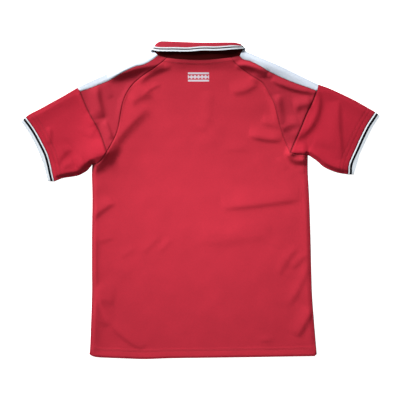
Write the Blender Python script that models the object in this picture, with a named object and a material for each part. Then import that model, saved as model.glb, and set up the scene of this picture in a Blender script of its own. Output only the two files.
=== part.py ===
"""Football jersey laid flat with its back up, one closed wall for each cut-and-sewn piece.

The frame: +X runs to the wearer's right sleeve, +Y to the collar, +Z up from the surface.
Sizes are in millimetres and become metres when a mesh is made.
"""

import bmesh
import bpy
import numpy as np

MM = 0.001

# Driving dimensions
CLOTH = 1.2             # wall of the knitted panels
RIB = 1.6               # wall of the collar and the cuffs
CHEST = 526.0           # width laid flat, under the arms
SEAM_GAP = 0.3          # between two pieces at a seam
NOTCH_SHARE = 2.0       # times that gap at the underarm point, where three pieces meet
COLLAR_GAP = 0.6        # between the neck edge and the foot of the collar
COLLAR_END = 10.0       # from the V point, where each front end of the collar stops
EDGE_RADIUS = 2.4       # outer radius where a layer rolls over into the other one
FLAT_TOP = 3.8          # outer face of the upper layer where nothing lifts it
PUFF_REACH = 22.0       # how far in from a rolled edge the upper layer stays puffed
LEAF_LIFT = 3.0         # how far the front collar leaves hold the front off the surface
LEAF_REACH = 42.0       # from the V neckline, where that lift starts to fade
LEAF_FADE = 26.0        # over what distance it fades in the lower layer
UPPER_FADE = 150.0      # and in the upper one, which bridges it
FOLD_CALM = 9.0         # from a rolled edge, where the folds have died out
FOLD_FADE = 0.35        # part of a fold's length over which it fades at each end
FOLD_END = 0.3          # part of that fade that is left beyond the end
HOLLOW = 0.4            # deepest that a fold may sink the upper layer

# Rows and columns of the grids
STRIPE_STEPS = 12       # along the white strip and the curved back seam
STRIPE_COLUMNS = 3      # across the white strip, on each layer
SLEEVE_STEPS = 8        # along the armhole
SLEEVE_ROWS = 6         # from the underarm point to the cuff
UNDERARM_STEPS = 3
CUFF_ROWS = 3
BACK_STEPS = 16         # down the side of the back
BACK_COLUMNS = 27
FRONT_STEPS = 6         # down the side of the front
FRONT_COLUMNS = 5       # along each side of the V and each white strip
BACK_NECK_STEPS = 12
COLLAR_STEPS = {"stand": 3, "fold": 4, "fall": 3}
BLEND_ROWS = 3          # over which a seam's columns change to a rolled edge's
NEAR_SEAM = np.array([4.0, 8.0, 12.0])  # from a seam, the columns that lead on to a rolled edge's
NEAR_NOTCH = EDGE_RADIUS * np.array([1.0, 0.4])  # from the underarm point, the last rows of its seam
ROLL_TURNS = np.radians([0, 35, 62, 90])

# Columns: x, y. The outline and the seams, left and right as they lie.
SHOULDER_LEFT = [(-112.5, 358.5), (-128, 352), (-148, 345), (-172, 332), (-220, 309), (-269, 287),
                 (-299, 272)]
SHOULDER_RIGHT = [(101, 362.7), (119, 355), (143, 345), (191, 325), (240, 301), (284, 280)]
SLEEVE_TOP_LEFT = [(-299, 272), (-335, 251), (-364, 235), (-393, 219), (-413, 209), (-424, 201)]
SLEEVE_TOP_RIGHT = [(284, 280), (309, 271), (338, 258), (367, 244), (396, 228), (422, 213)]
SLEEVE_UNDER_LEFT = [(-263, 86), (-268, 79.5), (-277, 70), (-296, 60), (-316, 56), (-335, 53), (-355, 45)]
SLEEVE_UNDER_RIGHT = [(258.5, 108.5), (264, 106), (280, 95), (299, 79), (328, 67), (356, 62)]
SIDE_LEFT = [(-263, 86), (-264, 60), (-263, 0), (-264, -87), (-264, -174), (-264, -232), (-268, -348),
             (-270, -372)]
SIDE_RIGHT = [(258.5, 108.5), (258.5, 67), (262, 0), (265, -88), (267, -175), (269, -233), (274, -300),
              (280, -372)]
HEM = [(-270, -372), (-261, -377), (-244, -380), (-196, -382), (-136, -384), (-75, -382), (-2, -381),
       (143, -379), (264, -377), (274, -376), (280, -372)]
STRIPE_LEFT = [(-104, 349), (-116, 339), (-128, 331), (-142, 325), (-158, 322), (-184, 310), (-220, 290),
               (-269, 271), (-292, 263)]
STRIPE_RIGHT = [(93, 348), (102, 340), (120, 335), (144, 323), (168, 309), (217, 287), (265, 270), (280, 264)]
SLEEVE_SEAM_LEFT = [(-292, 263), (-281, 235), (-269, 209), (-244, 164), (-226, 116)]
SLEEVE_SEAM_RIGHT = [(280, 264), (269, 235), (254, 204), (240, 170), (215, 115)]
RAGLAN_LEFT = [(-82, 343), (-99, 328), (-136, 303), (-152, 291), (-169, 274), (-182, 252), (-190, 228),
               (-198, 182), (-204, 160), (-215, 136), (-226, 116)]
RAGLAN_RIGHT = [(73, 344), (85, 327), (119, 302), (148, 284), (157, 272), (169, 250), (179, 228), (190, 184),
                (197, 160), (215, 115)]
UNDERARM_LEFT = [(-226, 116), (-237, 100), (-249, 89), (-263, 86)]
UNDERARM_RIGHT = [(215, 115), (228, 111), (243, 110), (258.5, 108.5)]
NECK = [(-82, 343), (-51, 339), (-2, 337), (34, 339), (73, 344)]
NECK_POINT_LEFT = (-104, 349)
NECK_POINT_RIGHT = (93, 348)
V_POINT = (-5, 211)
CUFF_SEAM_LEFT = [(-424, 201), (-403, 172), (-385, 140), (-371, 111), (-363, 82), (-360, 67), (-355, 45)]
CUFF_SEAM_RIGHT = [(422, 213), (402, 183), (387, 154), (374, 125), (361, 96), (357, 82), (356, 62)]
CUFF_EDGE_LEFT = [(-435, 190), (-421, 170), (-407, 146), (-396, 124), (-387, 102), (-380, 83), (-370, 46)]
CUFF_EDGE_RIGHT = [(433, 204), (416, 178), (404, 154), (393, 131), (383, 109), (378, 90), (369, 62)]

# Columns: x and y of one end and of the other end of a fold's steep flank, how far its middle bows to
# the left of that run, the reach on the soft and on the steep side of the crest, and the height. The
# crest lies on the left of the flank.
FOLDS = [
    # from the left underarm up along the curved seam
    (-268, 58, -196, 124, -2, 24, 13, 7.0),
    (-240, 84, -126, 224, 6, 24, 12, 6.5),
    # left yoke, shoulder and sleeve
    (-214, 288, -100, 328, 8, 22, 17, 7.0),
    (-172, 233, -119, 252, 4, 18, 12, 4.0),
    (-233, 206, -247, 272, 2, 16, 10, 5.0),
    (-342, 88, -312, 122, 3, 18, 12, 3.0),
    (-352, 176, -300, 240, -6, 26, 20, 3.0),
    (-350, 60, -280, 76, 0, 30, 12, 4.5),
    # left side
    (-256, -44, -211, -10, 2, 20, 12, 3.6),
    (-245, -240, -150, -358, -20, 20, 12, 3.0),
    # right yoke, shoulder and sleeve
    (78, 322, 185, 299, 8, 18, 15, 6.5),
    (175, 284, 272, 259, -5, 18, 11, 4.5),
    (197, 184, 190, 244, 2, 14, 12, 3.2),
    (243, 150, 289, 256, -16, 18, 13, 4.6),
    (230, 219, 266, 228, 2, 18, 12, 4.0),
    (196, 166, 236, 180, 2, 18, 12, 3.6),
    (344, 108, 336, 232, 3, 24, 14, 2.5),
    (262, 114, 350, 74, -6, 30, 12, 4.5),
    # right half of the back, and the right underarm
    (80, 256, 134, 276, -5, 20, 11, 3.4),
    (120, 152, 190, 142, -3, 20, 11, 3.2),
    (207, 106, 256, 88, -12, 20, 15, 5.5),
    # across the body and down the right side
    (60, -22, 234, -1, -2, 26, 11, 4.0),
    (-10, -110, 166, -80, -4, 34, 16, 3.0),
    (191, -182, 233, -120, 3, 18, 12, 3.0),
    (220, -250, 259, -163, -4, 16, 12, 3.0),
    (239, -328, 270, -270, 0, 14, 10, 4.0),
]

# Columns: centre x, centre y, half width, half length, height of the upper layer's broad swells.
SWELLS = [
    (0, 350, 170, 150, 6.0),
    (-340, 150, 60, 60, 3.5),
    (340, 165, 60, 60, 3.5),
    (0, -60, 230, 230, 5.0),
]

# The collar, from its left front end (-2) over the left shoulder (-1), the back (0) and the right
# shoulder (1) to its right front end (2).
# Columns: station, fold x, y, z, fall edge x, y, z, radius of the fold.
COLLAR_STATIONS = [
    (-2.00, -8, 222, 2.2, -36, 193, 0.8, 1.4),
    (-1.70, -36, 262, 2.2, -63, 235, 0.8, 1.4),
    (-1.30, -68, 322, 2.2, -97, 303, 0.8, 1.4),
    (-1.10, -88, 361, 2.4, -116, 344, 0.9, 1.6),
    (-1.02, -99.5, 371, 4.6, -120.5, 357, 1.9, 2.0),
    (-1.00, -104.5, 374, 8.0, -121, 361.5, 5.4, 2.4),
    (-0.98, -103.5, 378, 11.8, -117, 362.5, 11.0, 2.6),
    (-0.90, -96, 382, 14.5, -104, 359, 17.0, 2.8),
    (-0.60, -66, 381, 17.5, -70, 357.5, 21.5, 3.0),
    (0.00, -3, 378.5, 19.0, -3, 358.5, 23.5, 3.0),
    (0.60, 60, 379, 17.5, 62, 361.5, 21.5, 3.0),
    (0.90, 81, 379, 14.5, 90, 364, 17.0, 2.8),
    (0.98, 89.5, 377, 11.8, 103, 366, 11.0, 2.6),
    (1.00, 91.5, 376, 8.0, 107.5, 366.5, 5.4, 2.4),
    (1.02, 89, 372.5, 4.4, 107, 362, 1.9, 2.0),
    (1.10, 79, 362, 2.4, 104, 348, 0.9, 1.6),
    (1.30, 58, 322, 2.2, 88, 303, 0.8, 1.4),
    (1.70, 26, 262, 2.2, 54, 235, 0.8, 1.4),
    (2.00, -2, 222, 2.2, 27, 193, 0.8, 1.4),
]

RED = (0.600, 0.036, 0.058)
DEEP_RED = (0.440, 0.024, 0.040)
WHITE = (0.760, 0.790, 0.880)
ROUGHNESS = 0.85
SHARP_ANGLE = np.radians(50)
SMALL_STEP = 0.5        # for slopes taken by difference
TIE = 1e-6              # settles which of two equally near edges counts


# Curves in the plane

def smooth(points, steps=10):
    """Catmull-Rom curve through the points, as a dense line."""
    p = np.array(points, float)
    ends = np.vstack([2 * p[0] - p[1], p, 2 * p[-1] - p[-2]])
    t = np.linspace(0, 1, steps, endpoint=False)[:, None]
    spans = []
    for before, a, b, after in zip(ends, ends[1:], ends[2:], ends[3:]):
        bend = 2 * before - 5 * a + 4 * b - after
        twist = 3 * a - before - 3 * b + after
        spans.append(a + 0.5 * t * ((b - before) + t * (bend + t * twist)))
    return np.vstack(spans + [p[-1:]])


def runs(line):
    """Distance along a line at each of its points."""
    return np.concatenate([[0], np.cumsum(np.linalg.norm(np.diff(line, axis=0), axis=1))])


def shares(line):
    """Part of a line's length at each of its points."""
    return runs(line) / runs(line)[-1]


def at(line, distances):
    """Points of a line at the given distances along it."""
    along = runs(line)
    return np.stack([np.interp(distances, along, line[:, k]) for k in range(line.shape[1])], axis=-1)


def joined(*lines):
    """Lines that follow each other, as one."""
    return np.vstack([lines[0]] + [line[1:] for line in lines[1:]])


def roll_steps():
    """Distances from a rolled edge at which the rows of its roll stand."""
    return EDGE_RADIUS * (1 - np.cos(ROLL_TURNS))


def spaced(points, count, rolled_start=False, rolled_end=False):
    """A curve cut into count even stretches, with the rows of a roll at an end that has one."""
    line = smooth(points)
    length = runs(line)[-1]
    head = roll_steps() if rolled_start else np.zeros(1)
    tail = length - (roll_steps()[::-1] if rolled_end else np.zeros(1))
    middle = np.linspace(head[-1], tail[0], count + 1)[1:-1]
    return at(line, np.concatenate([head, middle, tail]))


# The form of the laid garment, as heights over the plane

# Each rolled edge runs clockwise, so that the outside is on its left.
EDGES = [
    smooth(SIDE_RIGHT),
    smooth(SIDE_LEFT[::-1]),
    np.vstack([CUFF_EDGE_LEFT[:1], smooth(SLEEVE_TOP_LEFT[::-1])[:-1], smooth(SHOULDER_LEFT[::-1])]),
    np.vstack([smooth(SHOULDER_RIGHT)[:-1], smooth(SLEEVE_TOP_RIGHT), CUFF_EDGE_RIGHT[:1]]),
    np.vstack([CUFF_EDGE_RIGHT[-1:], smooth(SLEEVE_UNDER_RIGHT[::-1])]),
    np.vstack([smooth(SLEEVE_UNDER_LEFT), CUFF_EDGE_LEFT[-1:]]),
]


def outward_directions(line):
    """Unit vectors to the left of a line at its points, each from both stretches that meet there."""
    run = np.diff(line, axis=0)
    side = np.stack([-run[:, 1], run[:, 0]], axis=1)
    side /= np.linalg.norm(side, axis=1, keepdims=True)
    both = np.vstack([side[:1], side[1:] + side[:-1], side[-1:]])
    return both / np.linalg.norm(both, axis=1, keepdims=True)


def to_line(xy, line):
    """For each point, its distance to a line, and its nearest spot as a stretch and a part of it."""
    start = line[:-1]
    run = np.diff(line, axis=0)
    offset = xy[:, None] - start
    part = np.clip((offset * run).sum(-1) / (run * run).sum(-1), 0, 1)
    gap = np.linalg.norm(offset - part[..., None] * run, axis=-1)
    stretch = gap.argmin(axis=1)
    rows = np.arange(len(xy))
    return gap[rows, stretch], stretch, part[rows, stretch]


def rolled_edge(xy):
    """Distance of each point to the nearest rolled edge, and the way out over that edge.

    Where two edges meet and are equally near, it is the one that the point lies further behind.
    """
    best = np.full(len(xy), np.inf)
    distance = best.copy()
    way = np.zeros_like(xy)
    for line in EDGES:
        gap, stretch, part = to_line(xy, line)
        part = part[:, None]
        out = outward_directions(line)
        here = out[stretch] * (1 - part) + out[stretch + 1] * part
        spot = line[stretch] * (1 - part) + line[stretch + 1] * part
        rank = gap + TIE * ((xy - spot) * here).sum(axis=1)
        nearer = rank < best
        best[nearer] = rank[nearer]
        distance[nearer] = gap[nearer]
        way[nearer] = here[nearer]
    return distance, way / np.linalg.norm(way, axis=1, keepdims=True)


def ease(x):
    """Smooth step from 0 to 1."""
    x = np.clip(x, 0, 1)
    return x * x * (3 - 2 * x)


def lift(xy, fade=LEAF_FADE):
    """Height of the lower layer: 0 on the surface, and LEAF_LIFT over the leaves of the collar."""
    neckline = np.array([NECK_POINT_LEFT, V_POINT, NECK_POINT_RIGHT], float)
    return LEAF_LIFT * (1 - ease((to_line(xy, neckline)[0] - LEAF_REACH) / fade))


def folds(xy):
    """Sum of the folds: each has a bell section, steeper on the right, and fades at both ends."""
    height = np.zeros(len(xy))
    for x0, y0, x1, y1, bow, soft, steep, crest in FOLDS:
        run = np.array([x1 - x0, y1 - y0], float)
        length = np.linalg.norm(run)
        run /= length
        offset = xy - (x0, y0)
        part = offset @ run / length
        inside = np.clip(part, 0, 1)
        side = offset @ np.array([-run[1], run[0]]) - 4 * bow * inside * (1 - inside) - steep / np.sqrt(2)
        past = np.maximum(np.abs(part - 0.5) - 0.5, 0) * length
        reach = np.where(side > 0, soft, steep)
        fade = np.sqrt(ease(part / FOLD_FADE + FOLD_END) * ease((1 - part) / FOLD_FADE + FOLD_END))
        height += crest * fade * np.exp(-(side / reach) ** 2 - (past / steep) ** 2)
    return height


def upper_height(xy):
    """Height of the upper layer's outer face, before it rolls over at an edge."""
    distance = rolled_edge(xy)[0]
    inside = np.maximum(distance - EDGE_RADIUS, 0)
    puff = (2 * EDGE_RADIUS - FLAT_TOP) * np.exp(-(inside / PUFF_REACH) ** 2)
    relief = folds(xy)
    for x, y, half_width, half_length, crest in SWELLS:
        relief += crest * np.exp(-((xy[:, 0] - x) / half_width) ** 2 - ((xy[:, 1] - y) / half_length) ** 2)
    relief = np.where(relief < 0, HOLLOW * np.tanh(relief / HOLLOW), relief)
    calm = 1 - np.exp(-(inside / FOLD_CALM) ** 2)
    return lift(xy, UPPER_FADE) + FLAT_TOP + puff + calm * relief


def facing(height, xy):
    """Unit normal, upwards, of a height over the plane."""
    step = np.array([SMALL_STEP, 0])
    slope_x = (height(xy + step) - height(xy - step)) / (2 * SMALL_STEP)
    slope_y = (height(xy + step[::-1]) - height(xy - step[::-1])) / (2 * SMALL_STEP)
    normal = np.stack([-slope_x, -slope_y, np.ones(len(xy))], axis=1)
    return normal / np.linalg.norm(normal, axis=1, keepdims=True)


def layer(plan, upper):
    """Outer face and its normal over a grid of plan points, on the upper or the lower layer."""
    xy = plan.reshape(-1, 2)
    distance, way = rolled_edge(xy)
    over = np.clip(1 - distance / EDGE_RADIUS, 0, 1)
    rise = np.sqrt(1 - over ** 2)
    middle = lift(xy) + EDGE_RADIUS
    height = upper_height if upper else lift
    level = facing(height, xy) * (1 if upper else -1)
    z = middle + (height(xy) - middle) * rise
    normal = level * rise[:, None]
    normal[:, :2] += way * over[:, None]
    normal /= np.linalg.norm(normal, axis=1, keepdims=True)
    shape = plan.shape[:2] + (3,)
    return np.column_stack([xy, z]).reshape(shape), normal.reshape(shape)


# Grids of plan points

def patch(top, bottom, left, right, across, straight_row=-1):
    """Coons patch: rows from left to right, with the bow of the bottom line eased in downwards and
    the bow of the top line eased out, until it is gone at the straight row."""
    down = (shares(left) + shares(right)) / 2
    rows = left[:, None] * (1 - across[..., None]) + right[:, None] * across[..., None]
    for line, share in ((top, np.maximum(1 - down / down[straight_row], 0)), (bottom, down)):
        chord = line[0] + (line[-1] - line[0]) * across[..., None]
        rows = rows + share[:, None, None] * (at(line, across * runs(line)[-1]) - chord)
    return rows


def seam_shares(rows, notch):
    """Share of the seam gap at each row of a side: none past the notch, and more at its sharp point."""
    row = np.arange(rows)
    return np.where(row < notch, 1.0, np.where(row == notch, NOTCH_SHARE, 0.0))


def inset(plan, first_row=0, last_row=0, first_column=0, last_column=0):
    """A grid drawn in by half a seam gap at the borders that are seams, by a share for each point."""
    rows, columns = plan.shape[:2]
    down = np.linspace(0, 1, rows)[:, None]
    over = np.linspace(0, 1, columns)[None, :]
    moved = plan.copy()
    borders = [
        (plan[0], plan[1], first_row, 1 - down, 0),
        (plan[-1], plan[-2], last_row, down, 0),
        (plan[:, 0], plan[:, 1], first_column, 1 - over, 1),
        (plan[:, -1], plan[:, -2], last_column, over, 1),
    ]
    for border, beside, share, weight, axis in borders:
        run = np.gradient(border, axis=0)
        side = np.stack([-run[:, 1], run[:, 0]], axis=1)
        side /= np.linalg.norm(side, axis=1, keepdims=True)
        side *= np.sign((side * (beside - border)).sum(axis=1, keepdims=True))
        shift = side * (SEAM_GAP / 2) * np.broadcast_to(share, len(border))[:, None]
        moved += np.expand_dims(shift, axis) * weight[..., None]
    return moved


# Meshes

def add_piece(name, points, faces, colour, collection):
    """A closed mesh as an object of its own, with its faces turned out and its own material."""
    mesh = bpy.data.meshes.new(name)
    mesh.from_pydata((points * MM).tolist(), [], faces)
    body = bmesh.new()
    body.from_mesh(mesh)
    bmesh.ops.recalc_face_normals(body, faces=body.faces)
    body.to_mesh(mesh)
    body.free()
    mesh.shade_smooth()
    mesh.set_sharp_from_angle(angle=SHARP_ANGLE)
    material = bpy.data.materials.new(name)
    material.use_nodes = True
    shader = material.node_tree.nodes["Principled BSDF"]
    shader.inputs["Base Color"].default_value = (*colour, 1)
    shader.inputs["Roughness"].default_value = ROUGHNESS
    shader.inputs["Metallic"].default_value = 0
    mesh.materials.append(material)
    piece = bpy.data.objects.new(name, mesh)
    collection.objects.link(piece)


def wall(outer, inner, tube_from=None):
    """Points and faces of the closed wall between two grids of points.

    From the row tube_from on, the last column is the first one again and the wall is a tube.
    Both faces are cut along the same diagonals, which keeps the wall even.
    """
    rows, columns = outer.shape[:2]
    size = rows * columns
    index = np.arange(size).reshape(rows, columns)
    if tube_from is None:
        tube_from = rows
    index[tube_from:, -1] = index[tube_from:, 0]
    a, b, c, d = index[:-1, :-1], index[:-1, 1:], index[1:, 1:], index[1:, :-1]
    outside = np.stack([a, b, c, a, c, d], axis=-1).reshape(-1, 3)
    faces = [outside, outside[:, ::-1] + size]
    open_rows = index[:tube_from + 1]
    for border in (index[0], index[-1], open_rows[:, 0], open_rows[:, -1]):
        a, b = border[1:], border[:-1]
        faces.append(np.stack([a, b, b + size, a, b + size, a + size], axis=-1).reshape(-1, 3))
    faces = np.vstack(faces)
    used = np.unique(faces)
    place = np.zeros(2 * size, int)
    place[used] = np.arange(len(used))
    points = np.vstack([outer.reshape(-1, 3), inner.reshape(-1, 3)])
    return points[used], place[faces].tolist()


def tube(plan, thickness, tube_from=0):
    """Wall of a flattened tube: in along the lower layer of the plan and out along the upper one."""
    upper, upper_normal = layer(plan, True)
    lower, lower_normal = layer(plan, False)
    outer = np.concatenate([lower[:, ::-1], upper[:, 1:]], axis=1)
    normal = np.concatenate([lower_normal[:, ::-1], upper_normal[:, 1:]], axis=1)
    return wall(outer, outer - thickness * normal, tube_from)


# Seams, shared by the pieces that meet there

def underarm(points):
    """The underarm seam, with two close rows where it meets the rolled edge."""
    line = spaced(points, UNDERARM_STEPS)
    return np.vstack([line[:-1], at(line, runs(line)[-1] - NEAR_NOTCH), line[-1:]])


def seam_lines(neck_point, stripe, shoulder, armhole, raglan, underarm_seam):
    """The seams round one shoulder, cut so that the rows of the pieces beside them meet."""
    return {
        "neck_point": neck_point,
        "neck": spaced([neck_point, raglan[0]], SLEEVE_STEPS),
        "stripe": spaced(stripe, STRIPE_STEPS),
        "front": spaced([neck_point, armhole[0]], STRIPE_STEPS),
        "shoulder": spaced(shoulder, STRIPE_STEPS),
        "armhole": spaced(armhole, SLEEVE_STEPS),
        "raglan": spaced(raglan, STRIPE_STEPS),
        "underarm": underarm(underarm_seam),
    }


LEFT = seam_lines(NECK_POINT_LEFT, STRIPE_LEFT, SHOULDER_LEFT, SLEEVE_SEAM_LEFT, RAGLAN_LEFT,
                  UNDERARM_LEFT)
LEFT |= {"side": SIDE_LEFT, "top": SLEEVE_TOP_LEFT, "under": SLEEVE_UNDER_LEFT,
         "cuff": CUFF_SEAM_LEFT, "edge": CUFF_EDGE_LEFT}
RIGHT = seam_lines(NECK_POINT_RIGHT, STRIPE_RIGHT, SHOULDER_RIGHT, SLEEVE_SEAM_RIGHT, RAGLAN_RIGHT,
                   UNDERARM_RIGHT)
RIGHT |= {"side": SIDE_RIGHT, "top": SLEEVE_TOP_RIGHT, "under": SLEEVE_UNDER_RIGHT,
          "cuff": CUFF_SEAM_RIGHT, "edge": CUFF_EDGE_RIGHT}


def side_columns(count, near):
    """Shares of the chest's width at a row's columns: some near each side, and even ones between."""
    middle = np.linspace(near[-1], CHEST - near[-1], count - 2 * len(near) + 2)[1:-1]
    return np.concatenate([near, middle, CHEST - near[::-1]]) / CHEST


def column_shares(seam, rows, seam_rows):
    """Columns of each row of a panel: those of its seam at first, then those of its rolled sides."""
    blend = ease((np.arange(rows) - seam_rows + 1) / BLEND_ROWS)[:, None]
    return seam * (1 - blend) + side_columns(len(seam), roll_steps()) * blend


# Pieces

def body_panel(upper, top, sides, top_rows, columns, strip_share):
    """A panel down to the hem. Its sides are seams at first, then half of the roll at each side."""
    left, right = sides
    seam_rows = top_rows + len(LEFT["underarm"]) - 1
    plan = patch(top, smooth(HEM), left, right, column_shares(columns, len(left), top_rows), top_rows)
    seams = seam_shares(len(left), seam_rows)
    plan = inset(plan, first_row=strip_share, first_column=seams, last_column=seams)
    outer, normal = layer(plan, upper)
    outer[seam_rows:, [0, -1], 2] += SEAM_GAP / 2 * (1 if upper else -1)
    return wall(outer, outer - CLOTH * normal)


def back_body():
    """Back panel: from the neck down the curved seams, the underarms and the sides to the hem."""
    sides = [joined(s["raglan"], s["underarm"], spaced(s["side"], BACK_STEPS)) for s in (LEFT, RIGHT)]
    columns = side_columns(BACK_COLUMNS, np.append(0, NEAR_SEAM))
    return body_panel(True, smooth(NECK), sides, STRIPE_STEPS, columns, 0)


def front_body():
    """Front panel: from the white strips and the V neckline down to the hem, on the surface."""
    sides = [joined(s["armhole"], s["underarm"], spaced(s["side"], FRONT_STEPS)) for s in (LEFT, RIGHT)]
    corners = [SLEEVE_SEAM_LEFT[0], NECK_POINT_LEFT, V_POINT, NECK_POINT_RIGHT, SLEEVE_SEAM_RIGHT[0]]
    top = np.array(corners, float)
    cuts = runs(top)
    columns = [np.linspace(a, b, FRONT_COLUMNS, endpoint=False) for a, b in zip(cuts, cuts[1:])]
    columns = np.sort(np.concatenate([*columns, cuts[-1:], NEAR_SEAM, cuts[-1] - NEAR_SEAM]))
    on_strip = (columns <= cuts[1]) | (columns >= cuts[3])
    return body_panel(False, top, sides, SLEEVE_STEPS, columns / cuts[-1], on_strip * 1.0)


def shoulder_back(side):
    """Back yoke piece between the white strip, the sleeve and the curved seam."""
    across = np.tile(shares(side["armhole"]), (STRIPE_STEPS + 1, 1))
    plan = patch(side["neck"], side["armhole"], side["stripe"], side["raglan"], across)
    outer, normal = layer(inset(plan, last_row=1, first_column=1, last_column=1), True)
    return wall(outer, outer - CLOTH * normal)


def stripe_surface(side):
    """Outer face and normals of the white strip, from its back seam over the fold to its front seam."""
    faces = []
    for seam, upper in ((side["stripe"], True), (side["front"], False)):
        width = np.linalg.norm(side["shoulder"] - seam, axis=1)[:, None]
        flat = np.linspace(0, 1, STRIPE_COLUMNS, endpoint=False) * (width - EDGE_RADIUS)
        across = np.hstack([flat, width - roll_steps()[::-1]]) / width
        plan = seam[:, None] + (side["shoulder"] - seam)[:, None] * across[..., None]
        faces.append(layer(inset(plan, last_row=1, first_column=1), upper))
    (back, back_normal), (front, front_normal) = faces
    outer = np.concatenate([back, front[:, -2::-1]], axis=1)
    return outer, np.concatenate([back_normal, front_normal[:, -2::-1]], axis=1)


def shoulder_stripe(side):
    """White strip that wraps over the shoulder fold."""
    outer, normal = stripe_surface(side)
    return wall(outer, outer - CLOTH * normal)


def cuff_line(points):
    """A line across the cuff, cut to match the columns of the sleeve."""
    return spaced(points, SLEEVE_STEPS + 1, rolled_start=True, rolled_end=True)


def sleeve(side):
    """Sleeve: open along the underarm seam, then a flattened tube to the cuff."""
    shoulder_end = spaced([side["top"][0], side["armhole"][0]], 1, rolled_start=True)
    armhole = joined(shoulder_end, side["armhole"])
    columns = np.vstack([armhole[:-1], at(armhole, runs(armhole)[-1] - NEAR_SEAM[::-1]), armhole[-1:]])
    cuff_seam = cuff_line(side["cuff"])
    under = joined(side["underarm"], spaced(side["under"], SLEEVE_ROWS))
    top = spaced(side["top"], len(under) - 1)
    tube_from = len(side["underarm"]) - 1
    share = ease(np.arange(len(under)) / tube_from)[:, None]
    across = shares(columns) * (1 - share) + shares(cuff_seam) * share
    plan = patch(armhole, cuff_seam, top, under, across)
    plan = inset(plan, first_row=1, last_row=1, last_column=seam_shares(len(under), tube_from))
    return tube(plan, CLOTH, tube_from)


def cuff(side):
    """Rib cuff: a short flattened tube at the end of the sleeve."""
    seam, edge = cuff_line(side["cuff"]), cuff_line(side["edge"])
    down = np.linspace(0, 1, CUFF_ROWS + 1)[:, None, None]
    return tube(inset(seam * (1 - down) + edge * down, first_row=1), RIB)


def wall_middle(outer, normal):
    """Middle of the cloth along the first row of a grid."""
    return (outer - CLOTH / 2 * normal)[0]


def into_opening(run, side):
    """A step of the collar's gap in the plane, square to a run and towards the neck opening."""
    step = np.array([-run[1], run[0], 0]) * np.sign(side["neck_point"][0])
    return COLLAR_GAP * step / np.linalg.norm(step)


def neck_half(side):
    """Half of the neckline, from the V over the shoulder to the back, and its point on the fold."""
    slope = np.array([V_POINT, side["neck_point"]], float)
    front = at(slope, np.linspace(COLLAR_END, runs(slope)[-1], FRONT_COLUMNS + 1)[:-1])
    outer, normal = stripe_surface(side)
    over = wall_middle(outer[:, ::-1], normal[:, ::-1])
    fold = len(over) // 2
    lower = wall_middle(*layer(front[None], False)) + into_opening(slope[1] - slope[0], side)
    upper = wall_middle(*layer(side["neck"][None, 2::2], True)) + (0, COLLAR_GAP, 0)
    over = over + into_opening(over[fold] - over[-1], side)
    return np.vstack([lower, over, upper]), len(lower) + fold


def neck_edge():
    """The whole neckline at the middle of the cloth, and the collar's station at each point."""
    (left, left_fold), (right, right_fold) = neck_half(LEFT), neck_half(RIGHT)
    back = wall_middle(*layer(spaced(NECK, BACK_NECK_STEPS)[None, 1:-1], True)) + (0, COLLAR_GAP, 0)
    path = np.vstack([left, back, right[::-1]])
    along = runs(path)
    folds_at = np.array([along[left_fold], along[len(path) - 1 - right_fold]])
    marks = [0, folds_at[0], folds_at.mean(), folds_at[1], along[-1]]
    return path, np.interp(along, marks, [-2, -1, 0, 1, 2])


def collar():
    """Collar: at each station a stand from the neck edge, a rounded fold and a fall back from it."""
    foot, stations = neck_edge()
    table = smooth(np.array(COLLAR_STATIONS, float))
    table = table[np.argsort(table[:, 0], kind="stable")].T
    values = np.stack([np.interp(stations, table[0], column) for column in table[1:]], axis=1)
    fold, fall, radius = values[:, :3], values[:, 3:6], values[:, 6:]
    along = np.gradient(fold, axis=0)
    along /= np.linalg.norm(along, axis=1, keepdims=True)
    out = fold - (foot + fall) / 2
    out -= along * (out * along).sum(axis=1, keepdims=True)
    out /= np.linalg.norm(out, axis=1, keepdims=True)
    across = np.cross(along, out)
    across *= np.sign((across * (fall - foot)).sum(axis=1, keepdims=True))
    turns = np.linspace(-np.pi / 2, np.pi / 2, COLLAR_STEPS["fold"] + 1)
    bend = [fold + radius * ((np.cos(t) - 1) * out + np.sin(t) * across) for t in turns]
    stand = [foot + (bend[0] - foot) * t for t in np.linspace(0, 1, COLLAR_STEPS["stand"], endpoint=False)]
    leaf = [fall + (bend[-1] - fall) * t for t in np.linspace(0, 1, COLLAR_STEPS["fall"], endpoint=False)]
    middle = np.stack(stand + bend + leaf[::-1], axis=1)
    normal = np.cross(np.gradient(middle, axis=0), np.gradient(middle, axis=1))
    normal /= np.linalg.norm(normal, axis=-1, keepdims=True)
    return wall(middle + RIB / 2 * normal, middle - RIB / 2 * normal)


def build():
    """Clears the file and adds one object for each piece."""
    for old in list(bpy.data.objects):
        bpy.data.objects.remove(old, do_unlink=True)
    collection = bpy.data.collections.new("football_jersey")
    bpy.context.scene.collection.children.link(collection)
    pieces = {
        "back_body": (back_body(), RED),
        "front_body": (front_body(), RED),
        "collar": (collar(), RED),
    }
    for name, side in (("left", LEFT), ("right", RIGHT)):
        pieces |= {
            "shoulder_back_" + name: (shoulder_back(side), RED),
            "shoulder_stripe_" + name: (shoulder_stripe(side), WHITE),
            "sleeve_" + name: (sleeve(side), DEEP_RED),
            "cuff_" + name: (cuff(side), WHITE),
        }
    for name, ((points, faces), colour) in pieces.items():
        add_piece(name, points, faces, colour, collection)


build()
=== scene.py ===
"""Football jersey laid flat with its back up: cloth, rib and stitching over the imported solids.

The tables and the functions for the form work in millimetres, in the frame of the solids: +X runs to
the wearer's right sleeve, +Y to the collar and +Z up. Lengths become metres when a mesh is made.
"""

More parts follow.
